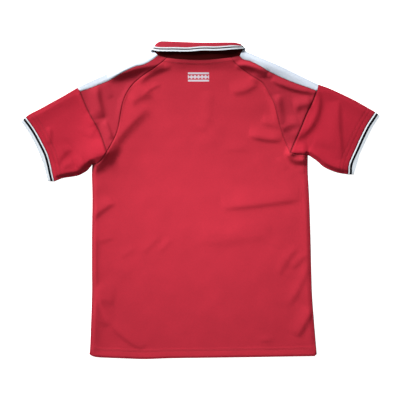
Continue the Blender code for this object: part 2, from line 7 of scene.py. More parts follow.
import bmesh
import bpy
import numpy as np
from bpy.props import FloatProperty, FloatVectorProperty, PointerProperty
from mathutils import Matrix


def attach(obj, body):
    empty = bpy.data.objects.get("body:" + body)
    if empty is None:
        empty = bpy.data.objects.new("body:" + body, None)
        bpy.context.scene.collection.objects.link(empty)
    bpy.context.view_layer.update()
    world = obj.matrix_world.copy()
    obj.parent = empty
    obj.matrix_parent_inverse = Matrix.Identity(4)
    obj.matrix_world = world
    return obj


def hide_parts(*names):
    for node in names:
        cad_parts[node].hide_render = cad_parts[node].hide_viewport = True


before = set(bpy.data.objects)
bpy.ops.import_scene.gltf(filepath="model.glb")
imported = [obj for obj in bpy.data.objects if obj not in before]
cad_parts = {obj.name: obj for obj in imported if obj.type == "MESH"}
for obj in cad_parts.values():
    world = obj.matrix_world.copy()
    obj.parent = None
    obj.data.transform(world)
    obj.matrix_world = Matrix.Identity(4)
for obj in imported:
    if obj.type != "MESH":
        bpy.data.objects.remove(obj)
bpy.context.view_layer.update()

bl_info = {
    "name": "Flat-laid football jersey",
    "version": (1, 0, 0),
    "blender": (4, 5, 0),
    "location": "View3D > Sidebar > Jersey",
    "description": "Adds the cloth, the rib, the stitching and the stage of a jersey laid flat",
    "category": "Add Mesh",
}

MM = 0.001
BODY = "root"
CLOTH_MAP = "cloth"     # the UV map: place in the cloth, in metres
SHADE_ATTRIBUTE = "painted_shade"         # the attribute of painted shade: 1 in a seam, and 0 away from it
RIM_ANGLE = np.radians(60)

# The form that the solids have too
CLOTH = 1.2             # wall of the knitted panels
RIB = 1.6               # wall of the collar and the cuffs
CHEST = 526.0           # width laid flat, under the arms
COLLAR_GAP = 0.15       # between the neck edge and the foot of the collar
COLLAR_END = 10.0       # from the V point, where each front end of the collar stops
EDGE_RADIUS = 2.4       # outer radius where a layer rolls over into the other one
FLAT_TOP = 3.8          # outer face of the upper layer where nothing lifts it
PUFF_REACH = 22.0       # how far in from a rolled edge the upper layer stays puffed
LEAF_LIFT = 3.0         # how far the front collar leaves hold the front off the surface
LEAF_REACH = 42.0       # from the V neckline, where that lift starts to fade
LEAF_FADE = 26.0        # over what distance it fades in the lower layer
UPPER_FADE = 150.0      # and in the upper one, which bridges it
FOLD_CALM = 4.0         # over which the folds die out towards a rolled edge
FOLD_FADE = 0.35        # part of a fold's length over which it fades at each end
FOLD_END = 0.3          # part of that fade that is left beyond the end
HOLLOW = 1.1            # deepest that a fold may sink the upper layer
RIPPLE_LENGTHS = np.geomspace(28, 130, 22)    # of the faint waves in handled cloth
RIPPLE_SLOPE = 0.001    # height of such a wave, for its length
RIPPLE_PATCH = 2.6      # length of its crest, for its length
RIPPLE_SEED = 11

# The lines of each side as it lies: the shoulder fold, the white strip's back seam (stripe), the curved
# seam (raglan), the sleeve seam (armhole), the underarm seam, the body's side, the sleeve's folded top
# and underside (under), and the cuff's seam and edge. Columns: x, y.
LEFT_LINES = {
    "neck_point": (-104, 349),
    "shoulder": [(-112.5, 358.5), (-128, 352), (-148, 345), (-172, 332), (-220, 309), (-269, 287),
                 (-299, 272)],
    "stripe": [(-104, 349), (-116, 339), (-128, 331), (-142, 325), (-158, 322), (-184, 310),
               (-220, 290), (-269, 271), (-292, 263)],
    "raglan": [(-82, 343), (-99, 328), (-136, 303), (-152, 291), (-169, 274), (-182, 252),
               (-190, 228), (-198, 182), (-204, 160), (-215, 136), (-226, 116)],
    "armhole": [(-292, 263), (-281, 235), (-269, 209), (-244, 164), (-226, 116)],
    "underarm": [(-226, 116), (-237, 100), (-249, 89), (-263, 86)],
    "side": [(-263, 86), (-264, 60), (-263, 0), (-264, -87), (-264, -174), (-264, -232), (-268, -348),
             (-270, -372)],
    "top": [(-299, 272), (-335, 251), (-364, 235), (-393, 219), (-413, 209), (-424, 201)],
    "under": [(-263, 86), (-268, 79.5), (-277, 70), (-296, 60), (-316, 56), (-335, 53), (-355, 45)],
    "cuff": [(-424, 201), (-403, 172), (-385, 140), (-371, 111), (-363, 82), (-360, 67), (-355, 45)],
    "edge": [(-435, 190), (-421, 170), (-407, 146), (-396, 124), (-387, 102), (-380, 83), (-370, 46)],
}
RIGHT_LINES = {
    "neck_point": (93, 348),
    "shoulder": [(101, 362.7), (119, 355), (143, 345), (191, 325), (240, 301), (284, 280)],
    "stripe": [(93, 348), (102, 340), (120, 335), (144, 323), (168, 309), (217, 287), (265, 270),
               (280, 264)],
    "raglan": [(73, 344), (85, 327), (119, 302), (148, 284), (157, 272), (169, 250), (179, 228),
               (190, 184), (197, 160), (215, 115)],
    "armhole": [(280, 264), (269, 235), (254, 204), (240, 170), (215, 115)],
    "underarm": [(215, 115), (228, 111), (243, 110), (258.5, 108.5)],
    "side": [(258.5, 108.5), (258.5, 67), (262, 0), (265, -88), (267, -175), (269, -233), (274, -300),
             (280, -372)],
    "top": [(284, 280), (309, 271), (338, 258), (367, 244), (396, 228), (422, 213)],
    "under": [(258.5, 108.5), (264, 106), (280, 95), (299, 79), (328, 67), (356, 62)],
    "cuff": [(422, 213), (402, 183), (387, 154), (374, 125), (361, 96), (357, 82), (356, 62)],
    "edge": [(433, 204), (416, 178), (404, 154), (393, 131), (383, 109), (378, 90), (369, 62)],
}
NECK = [(-82, 343), (-51, 339), (-2, 337), (34, 339), (73, 344)]
HEM = [(-270, -372), (-261, -377), (-244, -380), (-196, -382), (-136, -384), (-75, -382), (-2, -381),
       (143, -379), (264, -377), (274, -376), (280, -372)]
V_POINT = (-5, 211)

# Columns: x and y of one end and of the other end of a fold's steep flank, how far its middle bows to
# the left of that run, the reach on the soft and on the steep side of the crest, and the height. The
# crest lies on the left of the flank, and so does the soft side.
FOLDS = [
    # down from the neck edge
    (84, 342, -94, 342, 0, 18, 6, 5.5),
    # from the left underarm up along the curved seam
    (-268, 58, -196, 124, -2, 60, 13, 7.2),
    (-238, 81, -130, 212, 6, 64, 16, 7.7),
    (-250, 10, -120, 160, 0, 36, 36, 2.5),
    (-292, 76, -218, 109, 4, 40, 9, 6.4),
    # left yoke and shoulder
    (-214, 290, -98, 321, 3, 26, 12, 11.0),
    (-144, 283, -75, 317, 5, 12, 8, 3.6),
    (-136, 253, -99, 276, 2, 8, 4, 1.2),
    (-164, 231, -119, 251, 4, 30, 10, 3.0),
    (-233, 206, -247, 272, 2, 16, 9, 7.0),
    (-213, 252, -228, 284, 0, 9, 7, 1.6),
    (-212, 152, -228, 190, 0, 9, 4, 4.0),
    (-240, 160, -291, 258, 0, 10, 4, 2.6),
    (-196, 186, -166, 278, 6, 8, 4, 2.0),
    (-250, 186, -262, 212, 0, 12, 9, 2.4),
    # left side
    (-266, 40, -267, -360, 0, 14, 3, 1.6),
    (-256, -44, -211, -10, 2, 20, 7, 3.0),
    (-250, -106, -214, -94, 0, 14, 6, 0.9),
    (-254, -205, -254, -80, 0, 4, 5, 2.0),
    (-250, -218, -150, -358, -24, 20, 6, 2.6),
    (-262, -242, -214, -250, 0, 30, 12, 1.5),
    (-264, -236, -269, -364, 0, 20, 3, 1.8),
    (-262, -250, -236, -304, -6, 16, 6, 2.2),
    (-136, -128, -99, -92, 0, 12, 6, 0.8),
    (-94, -125, -70, -96, 0, 10, 6, 0.9),
    (-189, -140, -160, -121, 0, 12, 6, 0.8),
    # left sleeve
    (-362, 138, -361, 174, 0, 10, 5, 1.6),
    (-342, 88, -312, 122, 3, 16, 9, 2.4),
    (-330, 77, -304, 88, 0, 12, 7, 1.6),
    (-350, 56, -280, 72, 0, 30, 6, 5.0),
    (-296, 274, -424, 200, 0, 22, 4, 1.7),
    (-262, 150, -246, 186, 0, 30, 8, 2.2),
    # right yoke and shoulder
    (88, 321, 153, 302, 4, 8, 9, 9.0),
    (128, 301, 172, 297, -2, 8, 5, 1.6),
    (175, 284, 274, 256, -5, 13, 6, 5.2),
    (202, 190, 193, 250, 2, 14, 11, 5.0),
    (228, 150, 276, 258, 0, 12, 5, 1.8),
    (186, 200, 158, 272, -5, 8, 4, 2.0),
    (110, 343, 268, 273, -2, 10, 8, 2.6),
    (230, 217, 266, 228, 2, 16, 11, 5.5),
    (196, 166, 236, 180, 2, 16, 10, 4.4),
    (243, 150, 289, 256, -16, 16, 10, 4.6),
    (80, 256, 134, 276, -5, 18, 8, 2.6),
    (118, 290, 137, 283, 0, 9, 5, 1.0),
    (147, 185, 192, 172, 0, 14, 8, 2.0),
    (120, 152, 190, 142, -3, 18, 6, 3.4),
    (26, 194, 29, 256, 0, 20, 14, 1.2),
    (8, 164, 27, 196, 0, 18, 12, 1.0),
    # right underarm
    (206, 108, 258, 97, -12, 16, 8, 7.4),
    (214, 105, 256, 111, 4, 16, 8, 7.0),
    (250, 66, 251, 98, 0, 10, 5, 1.2),
    (226, 100, 250, 99, 0, 6, 4, 1.0),
    (184, 97, 201, 73, 0, 8, 6, 0.9),
    # across the body and down the right side
    (272, -360, 262, 60, 0, 16, 3, 1.6),
    (60, -22, 234, -1, -2, 26, 8, 2.8),
    (-10, -108, 160, -90, -4, 34, 16, 1.6),
    (191, -182, 233, -120, 3, 14, 7, 1.6),
    (225, -165, 254, -135, 0, 12, 6, 1.4),
    (220, -250, 259, -163, -4, 12, 6, 1.6),
    (239, -328, 270, -270, 0, 22, 7, 3.5),
    (58, 117, 107, 119, 0, 14, 8, 0.7),
    (142, -341, 172, -341, 0, 12, 6, 0.8),
    # right sleeve
    (424, 212, 284, 280, 0, 18, 4, 1.4),
    (344, 108, 336, 232, 3, 24, 8, 3.0),
    (262, 109, 350, 69, -6, 30, 6, 5.0),
    (262, 133, 318, 127, 3, 18, 12, 1.6),
]

# Columns: centre x, centre y, half width, half length, height of the upper layer's broad swells.
SWELLS = [
    (0, 350, 170, 150, 6.0),
    (-340, 150, 60, 60, 3.5),
    (340, 165, 60, 60, 3.5),
    (0, -60, 230, 230, 5.0),
]

# The collar, from its left front end (-2) over the left shoulder (-1), the back (0) and the right
# shoulder (1) to its right front end (2).
# Columns: station, fold x, y, z, fall edge x, y, z, radius of the fold.
COLLAR_STATIONS = [
    (-2.00, -8, 222, 2.2, -36, 193, 0.8, 1.4),
    (-1.70, -36, 262, 2.2, -63, 235, 0.8, 1.4),
    (-1.30, -68, 322, 2.2, -97, 303, 0.8, 1.4),
    (-1.10, -88, 361, 2.4, -116, 344, 0.9, 1.6),
    (-1.02, -99.5, 371, 4.6, -120.5, 357, 1.9, 2.0),
    (-1.00, -104.5, 374, 8.0, -121, 361.5, 5.4, 2.4),
    (-0.98, -103.5, 378, 11.8, -117, 362.5, 11.0, 2.6),
    (-0.90, -96, 382, 14.5, -104, 359, 17.0, 2.8),
    (-0.60, -66, 381, 17.5, -70, 357.5, 21.5, 3.0),
    (0.00, -3, 378.5, 19.0, -3, 358.5, 23.5, 3.0),
    (0.60, 60, 379, 17.5, 62, 361.5, 21.5, 3.0),
    (0.90, 81, 379, 14.5, 90, 364, 17.0, 2.8),
    (0.98, 89.5, 377, 11.8, 103, 366, 11.0, 2.6),
    (1.00, 91.5, 376, 8.0, 107.5, 366.5, 5.4, 2.4),
    (1.02, 89, 372.5, 4.4, 107, 362, 1.9, 2.0),
    (1.10, 79, 362, 2.4, 104, 348, 0.9, 1.6),
    (1.30, 58, 322, 2.2, 88, 303, 0.8, 1.4),
    (1.70, 26, 262, 2.2, 54, 235, 0.8, 1.4),
    (2.00, -2, 222, 2.2, 27, 193, 0.8, 1.4),
]
COLLAR_WAVE = (8.5, 1.0)    # turn for a station, and start, of the 1 mm wave in the fall's edge

# Sewing
SEAM_REACH = 1.3        # half width of the valley that a seam draws in
SEAM_SHARES = {"armhole": 1.8, "raglan": 1.4}    # of the seam depth, where that isn't 1
UNDER_DEPTH = 0.25      # deepest valley on the side that lies on the surface
ALLOWANCE_WIDTH = 6.0   # of the flat band that a seam allowance lifts beside its seam
ALLOWANCE_FADE = 3.0    # over which it thins out
HEM_RISE = 0.7          # of the turned-up hem's second layer
HEM_CURL = 5.0          # over which the hem rounds down to its edge
HEM_DROP = 1.6          # how far it does
HEM_TILT = 1.6          # how far it rises from its stitches towards that edge
HEM_LINES = (17.0, 20.5)    # distances of the two rows of stitches from the edge
NECK_LINE = 9.0         # of the stitched neck tape's row from the neck edge
NECK_RISE = 0.6         # of that tape
CUFF_LINES = (12.0, 21.0)   # of the two rows of stitches from the cuff seam
LINE_DEPTH = 0.35       # how deep a row of stitches draws in
LINE_REACH = 1.0        # half width of that valley
PAST_LINE = 0.5         # how far the rise of a hem or a tape goes on past its last row
RISE_FADE = 2.5         # over which it thins out
STITCH_PITCH = 3.0
STITCH_LENGTH = 2.3
STITCH_RADIUS = 0.28
STITCH_SPAN = (0.04, 0.96)      # the parts of a stitch's length where it goes into the cloth
STITCH_ARCH = 1.3       # how high its middle arcs, for its radius
STITCH_RINGS = 5        # along it, of as many points each

# Painted shade, as a darker colour: down in a seam or a row of stitches, and along the lines below
SHADE_REACH = 1.8       # half width
SHADE_DEPTH = 0.6       # how dark it gets
ROW_SHADE = 0.25        # part of that shade, on a row of stitches
RAGLAN_SHADE = 0.5      # on the curved seams, which are pressed flat
SIDE_SHADE = 0.5        # painted shade along the sides' edges: on the right at the edge, on the left on its roll, which faces the light
PUFF_SHADE = 0.2        # painted shade on the left side's puffed band beside it, which faces the light too
PUFF_SHADE_PLACE = 2.2 * EDGE_RADIUS
STRIP_SHADE = 0.4       # on the white strips
# Wider painted shade, as distances from a line, each with its part of that shade
COLLAR_SHADOWS = ((1, 0.8), (4, 0.5))     # painted shadow of the collar's fall, below the neck edge
# Painted shadow of the sleeves, beside the underarm seams on the back
UNDERARM_SHADOWS = ((3, 0.55), (6, 0.45))
TOP_SHADES = ((3, 0.25), (6, 0.25))    # painted shade along the folded tops of the sleeves, whose rolls face the light

# Colours, as sRGB
RED = "#ba283a"
# The yokes' red is a darker copy of the body's: painted shade.
SHADED_YOKE_RED = "#aa2436"
# The sleeves' red is a darker copy of the body's: painted shade.
SHADED_SLEEVE_RED = "#b31f34"
# The collar's red is paler than the body's: partly its rib's own colour, partly painted sheen of its
# fall.
COLLAR_RED = "#ae3040"
# Near-black of the collar's stand: painted shadow of the fall over it
STAND_SHADOW = "#300102"
WHITE = "#ced7e4"
RIB_WHITE = "#dde5ec"
PRINT_WHITE = "#cfc3cc"
DARK = "#0d0f15"
FLOOR_COLOUR = "#f6f6f6"
DYE_SPREAD = 0.05       # of the uneven dye, as a share of the colour
DYE_NOISE = (0.7, 1.3)  # the sums of its two noises that give the least and the most dye
THREAD_SHADES = (0.8, 1.1)      # between the plies of a thread and on them, of its colour

# Roughness, down between the loops or the plies and on top of them
KNIT_ROUGHNESS = (0.9, 0.74)
THREAD_ROUGHNESS = (0.7, 0.5)

# Patterns, in metres. Real wales are 0.8 mm apart and real ribs 1.4 mm, and both are drawn coarser so
# that they show.
WALE = 0.0018
COURSE = 0.0016
COURSE_DIP = 2.4        # turn by which a course lags on top of a wale, which bends it into a V
COURSE_SHARE = 0.25     # its part of the relief
LOOP_DEPTH = 0.0003
RIB_PITCH = 0.0022
RIB_DEPTH = 0.0005
DYE_CLOUD = 0.06        # across the clouds of uneven dye
DYE_GRAIN = 0.004       # and across its grain
PLY_PITCH = 0.0008      # of the twisted plies of a thread
PLY_DEPTH = 0.0001
PRINT_BLUR = 0.0002     # half width of the soft border of a stripe or a print

# Stripes in millimetres, each with its near side, its far side and its colour: on the collar from the
# edge of its fall, and on the cuffs from their seam
# The collar's last band paints its stand with the fall's shadow.
TIPPING = [
    (-1, 4.0, "rib_white"), (4.0, 7.0, "dark"), (7.0, 10.0, "rib_white"), (24.0, 90.0, "stand_shadow"),
]
CUFF_STRIPES = [(3.2, 8.6, "dark")]

# The print under the neck, in millimetres
PRINT_PLACE = (-6.0, 297.0)
PRINT_SIZE = (51.0, 22.0)
PRINT_BAR = 4.5         # height of each bar
PRINT_SQUARES = 6
PRINT_SQUARE = 11.0     # across the corners of a square

# Stage: lengths in metres but for the floor's, and powers in watts
FLOOR_SIZE = 8000.0     # in millimetres
FLOOR_GLOW = 1.0
FILL = 0.07             # strength of the white light from all around
KEY_POWER = 1160.0
KEY_SIZE = 2.2
KEY_PLACE = (-4.1, 5.9, 3.6)
POOL_POWER = 265.0      # of the overhead lamp
POOL_PLACE = (0.01, -0.02, 3.6)
POOL_RADIUS = 0.47      # of its light on the surface, which fades from the middle out
POOL_SIZE = 0.3         # of the lamp itself
SENSOR = 36.0           # of the camera, in millimetres
CAMERA_HEIGHT = 3.0
CAMERA_PLACE = (-0.0024, 0.0005)
FRAME_WIDTH = 0.968     # what the camera sees of the surface

# Grid steps. They are close where a seam, a roll or a row of stitches needs it, and even elsewhere.
NEAR_SEAM = np.array([0, 0.7, 1.4, 2.4, 4.0, 6.2, 9.0, 12.5])
ROLL_TURNS = np.radians([0, 14, 28, 42, 56, 68, 79, 90])
NEAR_NECK = np.array([0, 0.7, 1.4, 2.4, 4.0, 6.0, 7.6, 8.4, 9.0, 9.6, 10.4, 12.0])
NEAR_NOTCH = EDGE_RADIUS * np.array([0, 0.4, 1.0])
NEAR_HEM = np.array([0, 1, 2.4, 4, 6.5, 9.5, 12.5, 14.8, 16, 17, 18, 19.2, 20.5, 21.5, 22.6, 24.5,
                     27])
NEAR_CUFF = np.array([0, 0.7, 1.4, 2.4, 4.5, 7.5, 10, 11.2, 12, 12.8, 14, 16, 18, 20, 21, 22, 23.5,
                      26])
YOKE_STEPS = 72
ARMHOLE_STEPS = 44
UNDERARM_STEPS = 12
SIDE_STEPS = 128
BACK_COLUMNS = 148
FRONT_SIDE_STEPS = 70
FRONT_COLUMNS = 22
SLEEVE_STEPS = 44
SLEEVE_END_STEPS = 3
STRIP_COLUMNS = 9
STRIP_CROWDING = 1.5    # power by which the strip's columns crowd at its seam
CUFF_ROWS = 14
NECK_STEPS = 60
NECK_END_STEPS = 8
V_STEPS = 60
BLEND_ROWS = 12
COLLAR_STEPS = {"stand": 8, "fold": 8, "fall": 14}
PARALLEL_SLACK = 0.1    # by which a line beside another may miss its distance


# Curves in the plane

def smooth(points, steps=10):
    """Catmull-Rom curve through the points: on each span a cubic whose ends run parallel to the chord
    between the neighbours of that end."""
    p = np.array(points, float)
    ends = np.vstack([2 * p[0] - p[1], p, 2 * p[-1] - p[-2]])
    t = np.linspace(0, 1, steps, endpoint=False)[:, None]
    spans = []
    for before, a, b, after in zip(ends, ends[1:], ends[2:], ends[3:]):
        bend = 2 * before - 5 * a + 4 * b - after
        twist = 3 * a - before - 3 * b + after
        spans.append(a + 0.5 * t * ((b - before) + t * (bend + t * twist)))
    return np.vstack(spans + [p[-1:]])


def runs(line):
    """Distance along a line at each of its points."""
    return np.concatenate([[0], np.cumsum(np.linalg.norm(np.diff(line, axis=0), axis=1))])


def shares(line):
    """Part of a line's length at each of its points."""
    return runs(line) / runs(line)[-1]


def at(line, distances):
    """Points of a line at the given distances along it."""
    along = runs(line)
    return np.stack([np.interp(distances, along, line[:, k]) for k in range(line.shape[1])], axis=-1)


def joined(*lines):
    """Lines that follow each other, as one."""
    return np.vstack([lines[0]] + [line[1:] for line in lines[1:]])


def graded(points, count, start=(0,), end=(0,)):
    """A smooth curve cut at the given distances from its start and its end, and into count even
    stretches between them."""
    line = smooth(points)
    head = np.asarray(start, float)
    tail = runs(line)[-1] - np.asarray(end, float)[::-1]
    middle = np.linspace(head[-1], tail[0], count + 1)[1:-1]
    return at(line, np.concatenate([head, middle, tail]))


def roll_steps():
    """Distances from a rolled edge at even turns of its roll: radius times (1 - cosine of the turn)."""
    return EDGE_RADIUS * (1 - np.cos(ROLL_TURNS))


def ease(x):
    """Smooth step from 0 to 1: three times the square less twice the cube."""
    x = np.clip(x, 0, 1)
    return x * x * (3 - 2 * x)


def rolled_edges(left, right):
    """The edges at which one layer rolls over into the other. Each runs clockwise, so that the outside
    is on its left."""
    return [
        smooth(right["side"]),
        smooth(left["side"][::-1]),
        np.vstack([left["edge"][:1], smooth(left["top"][::-1])[:-1], smooth(left["shoulder"][::-1])]),
        np.vstack([smooth(right["shoulder"])[:-1], smooth(right["top"]), right["edge"][:1]]),
        np.vstack([right["edge"][-1:], smooth(right["under"][::-1])]),
        np.vstack([smooth(left["under"]), left["edge"][-1:]]),
    ]


EDGES = rolled_edges(LEFT_LINES, RIGHT_LINES)


def outward_directions(line):
    """Unit vectors to the left of a line at its points, each from both stretches that meet there."""
    run = np.diff(line, axis=0)
    side = np.stack([-run[:, 1], run[:, 0]], axis=1)
    side /= np.linalg.norm(side, axis=1, keepdims=True)
    both = np.vstack([side[:1], side[1:] + side[:-1], side[-1:]])
    return both / np.linalg.norm(both, axis=1, keepdims=True)


def to_line(xy, line):
    """Distance of each point to a line: its offset from each stretch's start is projected on the
    stretch and cut off at its ends, and the least distance counts."""
    start = line[:-1]
    run = np.diff(line, axis=0)
    offset = xy[:, None] - start
    part = np.clip((offset * run).sum(-1) / (run * run).sum(-1), 0, 1)
    return np.linalg.norm(offset - part[..., None] * run, axis=-1).min(axis=1)


def edge_distance(xy):
    """Distance of each point to the nearest rolled edge."""
    return np.min([to_line(xy, line) for line in EDGES], axis=0)


# The form of the laid garment, as heights over the plane

def lift(xy, fade=LEAF_FADE):
    """Height of the lower layer: 0 on the surface, and LEAF_LIFT over the leaves of the collar."""
    neckline = np.array([LEFT_LINES["neck_point"], V_POINT, RIGHT_LINES["neck_point"]], float)
    return LEAF_LIFT * (1 - ease((to_line(xy, neckline) - LEAF_REACH) / fade))


def folds(xy):
    """Sum of the folds. Each is a bell curve of the distance from its crest, wide on the soft side and
    narrow on the steep one, on a crest line bent into a parabola, and it fades at both ends."""
    height = np.zeros(len(xy))
    for x0, y0, x1, y1, bow, soft, steep, crest in FOLDS:
        run = np.array([x1 - x0, y1 - y0], float)
        length = np.linalg.norm(run)
        run /= length
        offset = xy - (x0, y0)
        part = offset @ run / length
        inside = np.clip(part, 0, 1)
        bend = 4 * bow * inside * (1 - inside)
        side = offset @ np.array([-run[1], run[0]]) - bend - steep / np.sqrt(2)
        past = np.maximum(np.abs(part - 0.5) - 0.5, 0) * length
        reach = np.where(side > 0, soft, steep)
        fade = np.sqrt(ease(part / FOLD_FADE + FOLD_END) * ease((1 - part) / FOLD_FADE + FOLD_END))
        height += crest * fade * np.exp(-(side / reach) ** 2 - (past / steep) ** 2)
    return height


def ripple(xy):
    """Faint unevenness of handled cloth: a sum of waves in all directions, each as high as a fixed
    share of its length, and times a longer wave across it."""
    random = np.random.default_rng(RIPPLE_SEED)
    height = np.zeros(len(xy))
    for length in RIPPLE_LENGTHS:
        angle, phase, patch_phase = random.uniform(0, 2 * np.pi, 3)
        along = xy @ np.array([np.cos(angle), np.sin(angle)])
        across = xy @ np.array([-np.sin(angle), np.cos(angle)])
        wave = RIPPLE_SLOPE * length * np.sin(2 * np.pi * along / length + phase)
        height += wave * np.cos(2 * np.pi * across / (RIPPLE_PATCH * length) + patch_phase)
    return height


def upper_height(xy, distance):
    """Height of the upper layer's outer face, before it rolls over at an edge."""
    inside = np.maximum(distance - EDGE_RADIUS, 0)
    puff = (2 * EDGE_RADIUS - FLAT_TOP) * np.exp(-(inside / PUFF_REACH) ** 2)
    relief = folds(xy) + ripple(xy)
    for x, y, half_width, half_length, crest in SWELLS:
        away = ((xy[:, 0] - x) / half_width) ** 2 + ((xy[:, 1] - y) / half_length) ** 2
        relief += crest * np.exp(-away)
    relief = np.where(relief < 0, HOLLOW * np.tanh(relief / HOLLOW), relief)
    calm = 1 - np.exp(-(inside / FOLD_CALM) ** 2)
    return lift(xy, UPPER_FADE) + FLAT_TOP + puff + calm * relief


def sewn(xy, side, bands, depth):
    """Height that the sewing adds along the seams of a side. A seam is a bell-shaped valley, with the
    allowance as a flat band beside it where one lies there."""
    added = np.zeros(len(xy))
    for seam, band in bands.items():
        distance = to_line(xy, side[seam])
        valley = depth * SEAM_SHARES.get(seam, 1) * np.exp(-(distance / SEAM_REACH) ** 2)
        added += band * (1 - ease((distance - ALLOWANCE_WIDTH) / ALLOWANCE_FADE)) - valley
    return added


def stitched(distance, lines, rise):
    """Height of a turned-up hem or a tape: a flat rise out to its last row of stitches, less a
    bell-shaped valley along each row."""
    added = rise * (1 - ease((distance - max(lines) - PAST_LINE) / RISE_FADE))
    for line in lines:
        added -= LINE_DEPTH * np.exp(-((distance - line) / LINE_REACH) ** 2)
    return added


def layer(plan, upper, added=None):
    """Outer face over a grid of plan points. Near a rolled edge the height runs from the middle of the
    roll along a quarter circle, or a quarter ellipse where the layer lies higher."""
    xy = plan.reshape(-1, 2)
    distance = edge_distance(xy)
    rise = np.sqrt(1 - np.clip(1 - distance / EDGE_RADIUS, 0, 1) ** 2)
    height = upper_height(xy, distance) if upper else lift(xy)
    if added is not None:
        height = height + (added if upper else -np.maximum(added, -UNDER_DEPTH)) * rise
    middle = lift(xy) + EDGE_RADIUS
    z = middle + (height - middle) * rise
    if not upper:
        z = np.maximum(z, 0)
    return np.column_stack([xy, z]).reshape(plan.shape[:2] + (3,))


# Grids of plan points

def patch(top, bottom, left, right, across, straight_row=-1):
    """Coons patch: rows from left to right, with the bow of the bottom line eased in downwards and
    the bow of the top line eased out, until it is gone at the straight row."""
    down = (shares(left) + shares(right)) / 2
    rows = left[:, None] * (1 - across[..., None]) + right[:, None] * across[..., None]
    for line, share in ((top, np.maximum(1 - down / down[straight_row], 0)), (bottom, down)):
        chord = line[0] + (line[-1] - line[0]) * across[..., None]
        rows = rows + share[:, None, None] * (at(line, across * runs(line)[-1]) - chord)
    return rows


def cut_lines(lines):
    """The lines of one side, with those of its seams cut so that the rows of the pieces beside them
    meet. The strip's front seam and the yoke's neck edge are straight."""
    cut = lines | {"front": [lines["neck_point"], lines["armhole"][0]]}
    for seam in ("stripe", "front", "shoulder", "raglan"):
        cut[seam] = graded(cut[seam], YOKE_STEPS, NEAR_NECK, NEAR_SEAM)
    cut["neck"] = np.array([lines["neck_point"], lines["raglan"][0]], float)
    cut["armhole"] = graded(lines["armhole"], ARMHOLE_STEPS, NEAR_SEAM, NEAR_SEAM)
    cut["underarm"] = graded(lines["underarm"], UNDERARM_STEPS, end=NEAR_NOTCH)
    cut["cuff_seam"] = smooth(lines["cuff"])
    return cut


LEFT, RIGHT = cut_lines(LEFT_LINES), cut_lines(RIGHT_LINES)
SIDES = {"left": LEFT, "right": RIGHT}
TOP_ROWS = len(LEFT["raglan"]) - 1


def side_columns(count, near):
    """Shares of the chest's width at a row's columns: some near each side, and even ones between."""
    middle = np.linspace(near[-1], CHEST - near[-1], count - 2 * len(near) + 2)[1:-1]
    return np.concatenate([near, middle, CHEST - near[::-1]]) / CHEST


def column_shares(seam, rows, seam_rows):
    """Columns of each row of a panel: those of its seam at first, then those of its rolled sides."""
    blend = ease((np.arange(rows) - seam_rows + 1) / BLEND_ROWS)[:, None]
    return seam * (1 - blend) + side_columns(len(seam), roll_steps()) * blend


# Surfaces of the pieces, each a grid of points

def hem_height(xy):
    """Height that the turned-up hem adds on the back: a flat rise, a slope from the stitches up to the
    edge, and the edge rounded down."""
    distance = to_line(xy, smooth(HEM))
    slope = HEM_TILT * np.maximum(1 - distance / max(HEM_LINES), 0)
    return stitched(distance, HEM_LINES, HEM_RISE) + slope - HEM_DROP * (1 - ease(distance / HEM_CURL))


def front_hem_height(xy):
    """Height that the hem adds on the front, which lies pressed flat: the valleys of its stitches."""
    return stitched(to_line(xy, smooth(HEM)), HEM_LINES, 0)


def neck_edge_line():
    """The neck edge on the back, from one shoulder strip to the other."""
    return np.vstack([LEFT["neck_point"], smooth(NECK), RIGHT["neck_point"]])


def neck_height(xy):
    """Height that the tape stitched down inside the neck adds."""
    return stitched(to_line(xy, neck_edge_line()), (NECK_LINE,), NECK_RISE)


def cuff_height(xy, side):
    """Height that the stitched seam allowance of the cuff adds on the sleeve."""
    return stitched(to_line(xy, side["cuff_seam"]), CUFF_LINES, 0)


def back_surface(seam_depth):
    """Back panel: from the neck down the curved seams, the underarms and the sides to the hem."""
    left, right = [joined(s["raglan"], s["underarm"], graded(s["side"], SIDE_STEPS, end=NEAR_HEM))
                   for s in (LEFT, RIGHT)]
    across = column_shares(side_columns(BACK_COLUMNS, NEAR_SEAM), len(left), TOP_ROWS)
    plan = patch(smooth(NECK), smooth(HEM), left, right, across, TOP_ROWS)
    xy = plan.reshape(-1, 2)
    seams = sum(sewn(xy, side, {"raglan": 0, "underarm": 0}, seam_depth) for side in (LEFT, RIGHT))
    return layer(plan, True, seams + hem_height(xy) + neck_height(xy))


def front_surface(seam_depth):
    """Front panel: from the white strips and the V neckline down to the hem, on the surface."""
    left, right = [
        joined(s["armhole"], s["underarm"], graded(s["side"], FRONT_SIDE_STEPS, end=NEAR_HEM))
        for s in (LEFT, RIGHT)]
    top = np.array([LEFT["armhole"][0], LEFT["neck_point"], V_POINT, RIGHT["neck_point"],
                    RIGHT["armhole"][0]], float)
    cuts = runs(top)
    columns = [np.linspace(a, b, FRONT_COLUMNS, endpoint=False) for a, b in zip(cuts, cuts[1:])]
    near = NEAR_SEAM[1:]
    columns = np.sort(np.concatenate([*columns, cuts[-1:], near, cuts[-1] - near])) / cuts[-1]
    seam_rows = len(LEFT["armhole"]) - 1
    across = column_shares(columns, len(left), seam_rows)
    plan = patch(top, smooth(HEM), left, right, across, seam_rows)
    xy = plan.reshape(-1, 2)
    seams = sum(sewn(xy, side, {"armhole": 0, "underarm": 0, "front": 0}, seam_depth)
                for side in (LEFT, RIGHT))
    return layer(plan, False, seams + front_hem_height(xy))


def yoke_surface(side, seam_depth):
    """Back yoke piece between the white strip, the sleeve and the curved seam."""
    across = np.tile(shares(side["armhole"]), (TOP_ROWS + 1, 1))
    plan = patch(side["neck"], side["armhole"], side["stripe"], side["raglan"], across)
    xy = plan.reshape(-1, 2)
    seams = sewn(xy, side, {"raglan": 0, "stripe": 0, "armhole": 0}, seam_depth)
    return layer(plan, True, seams + neck_height(xy))


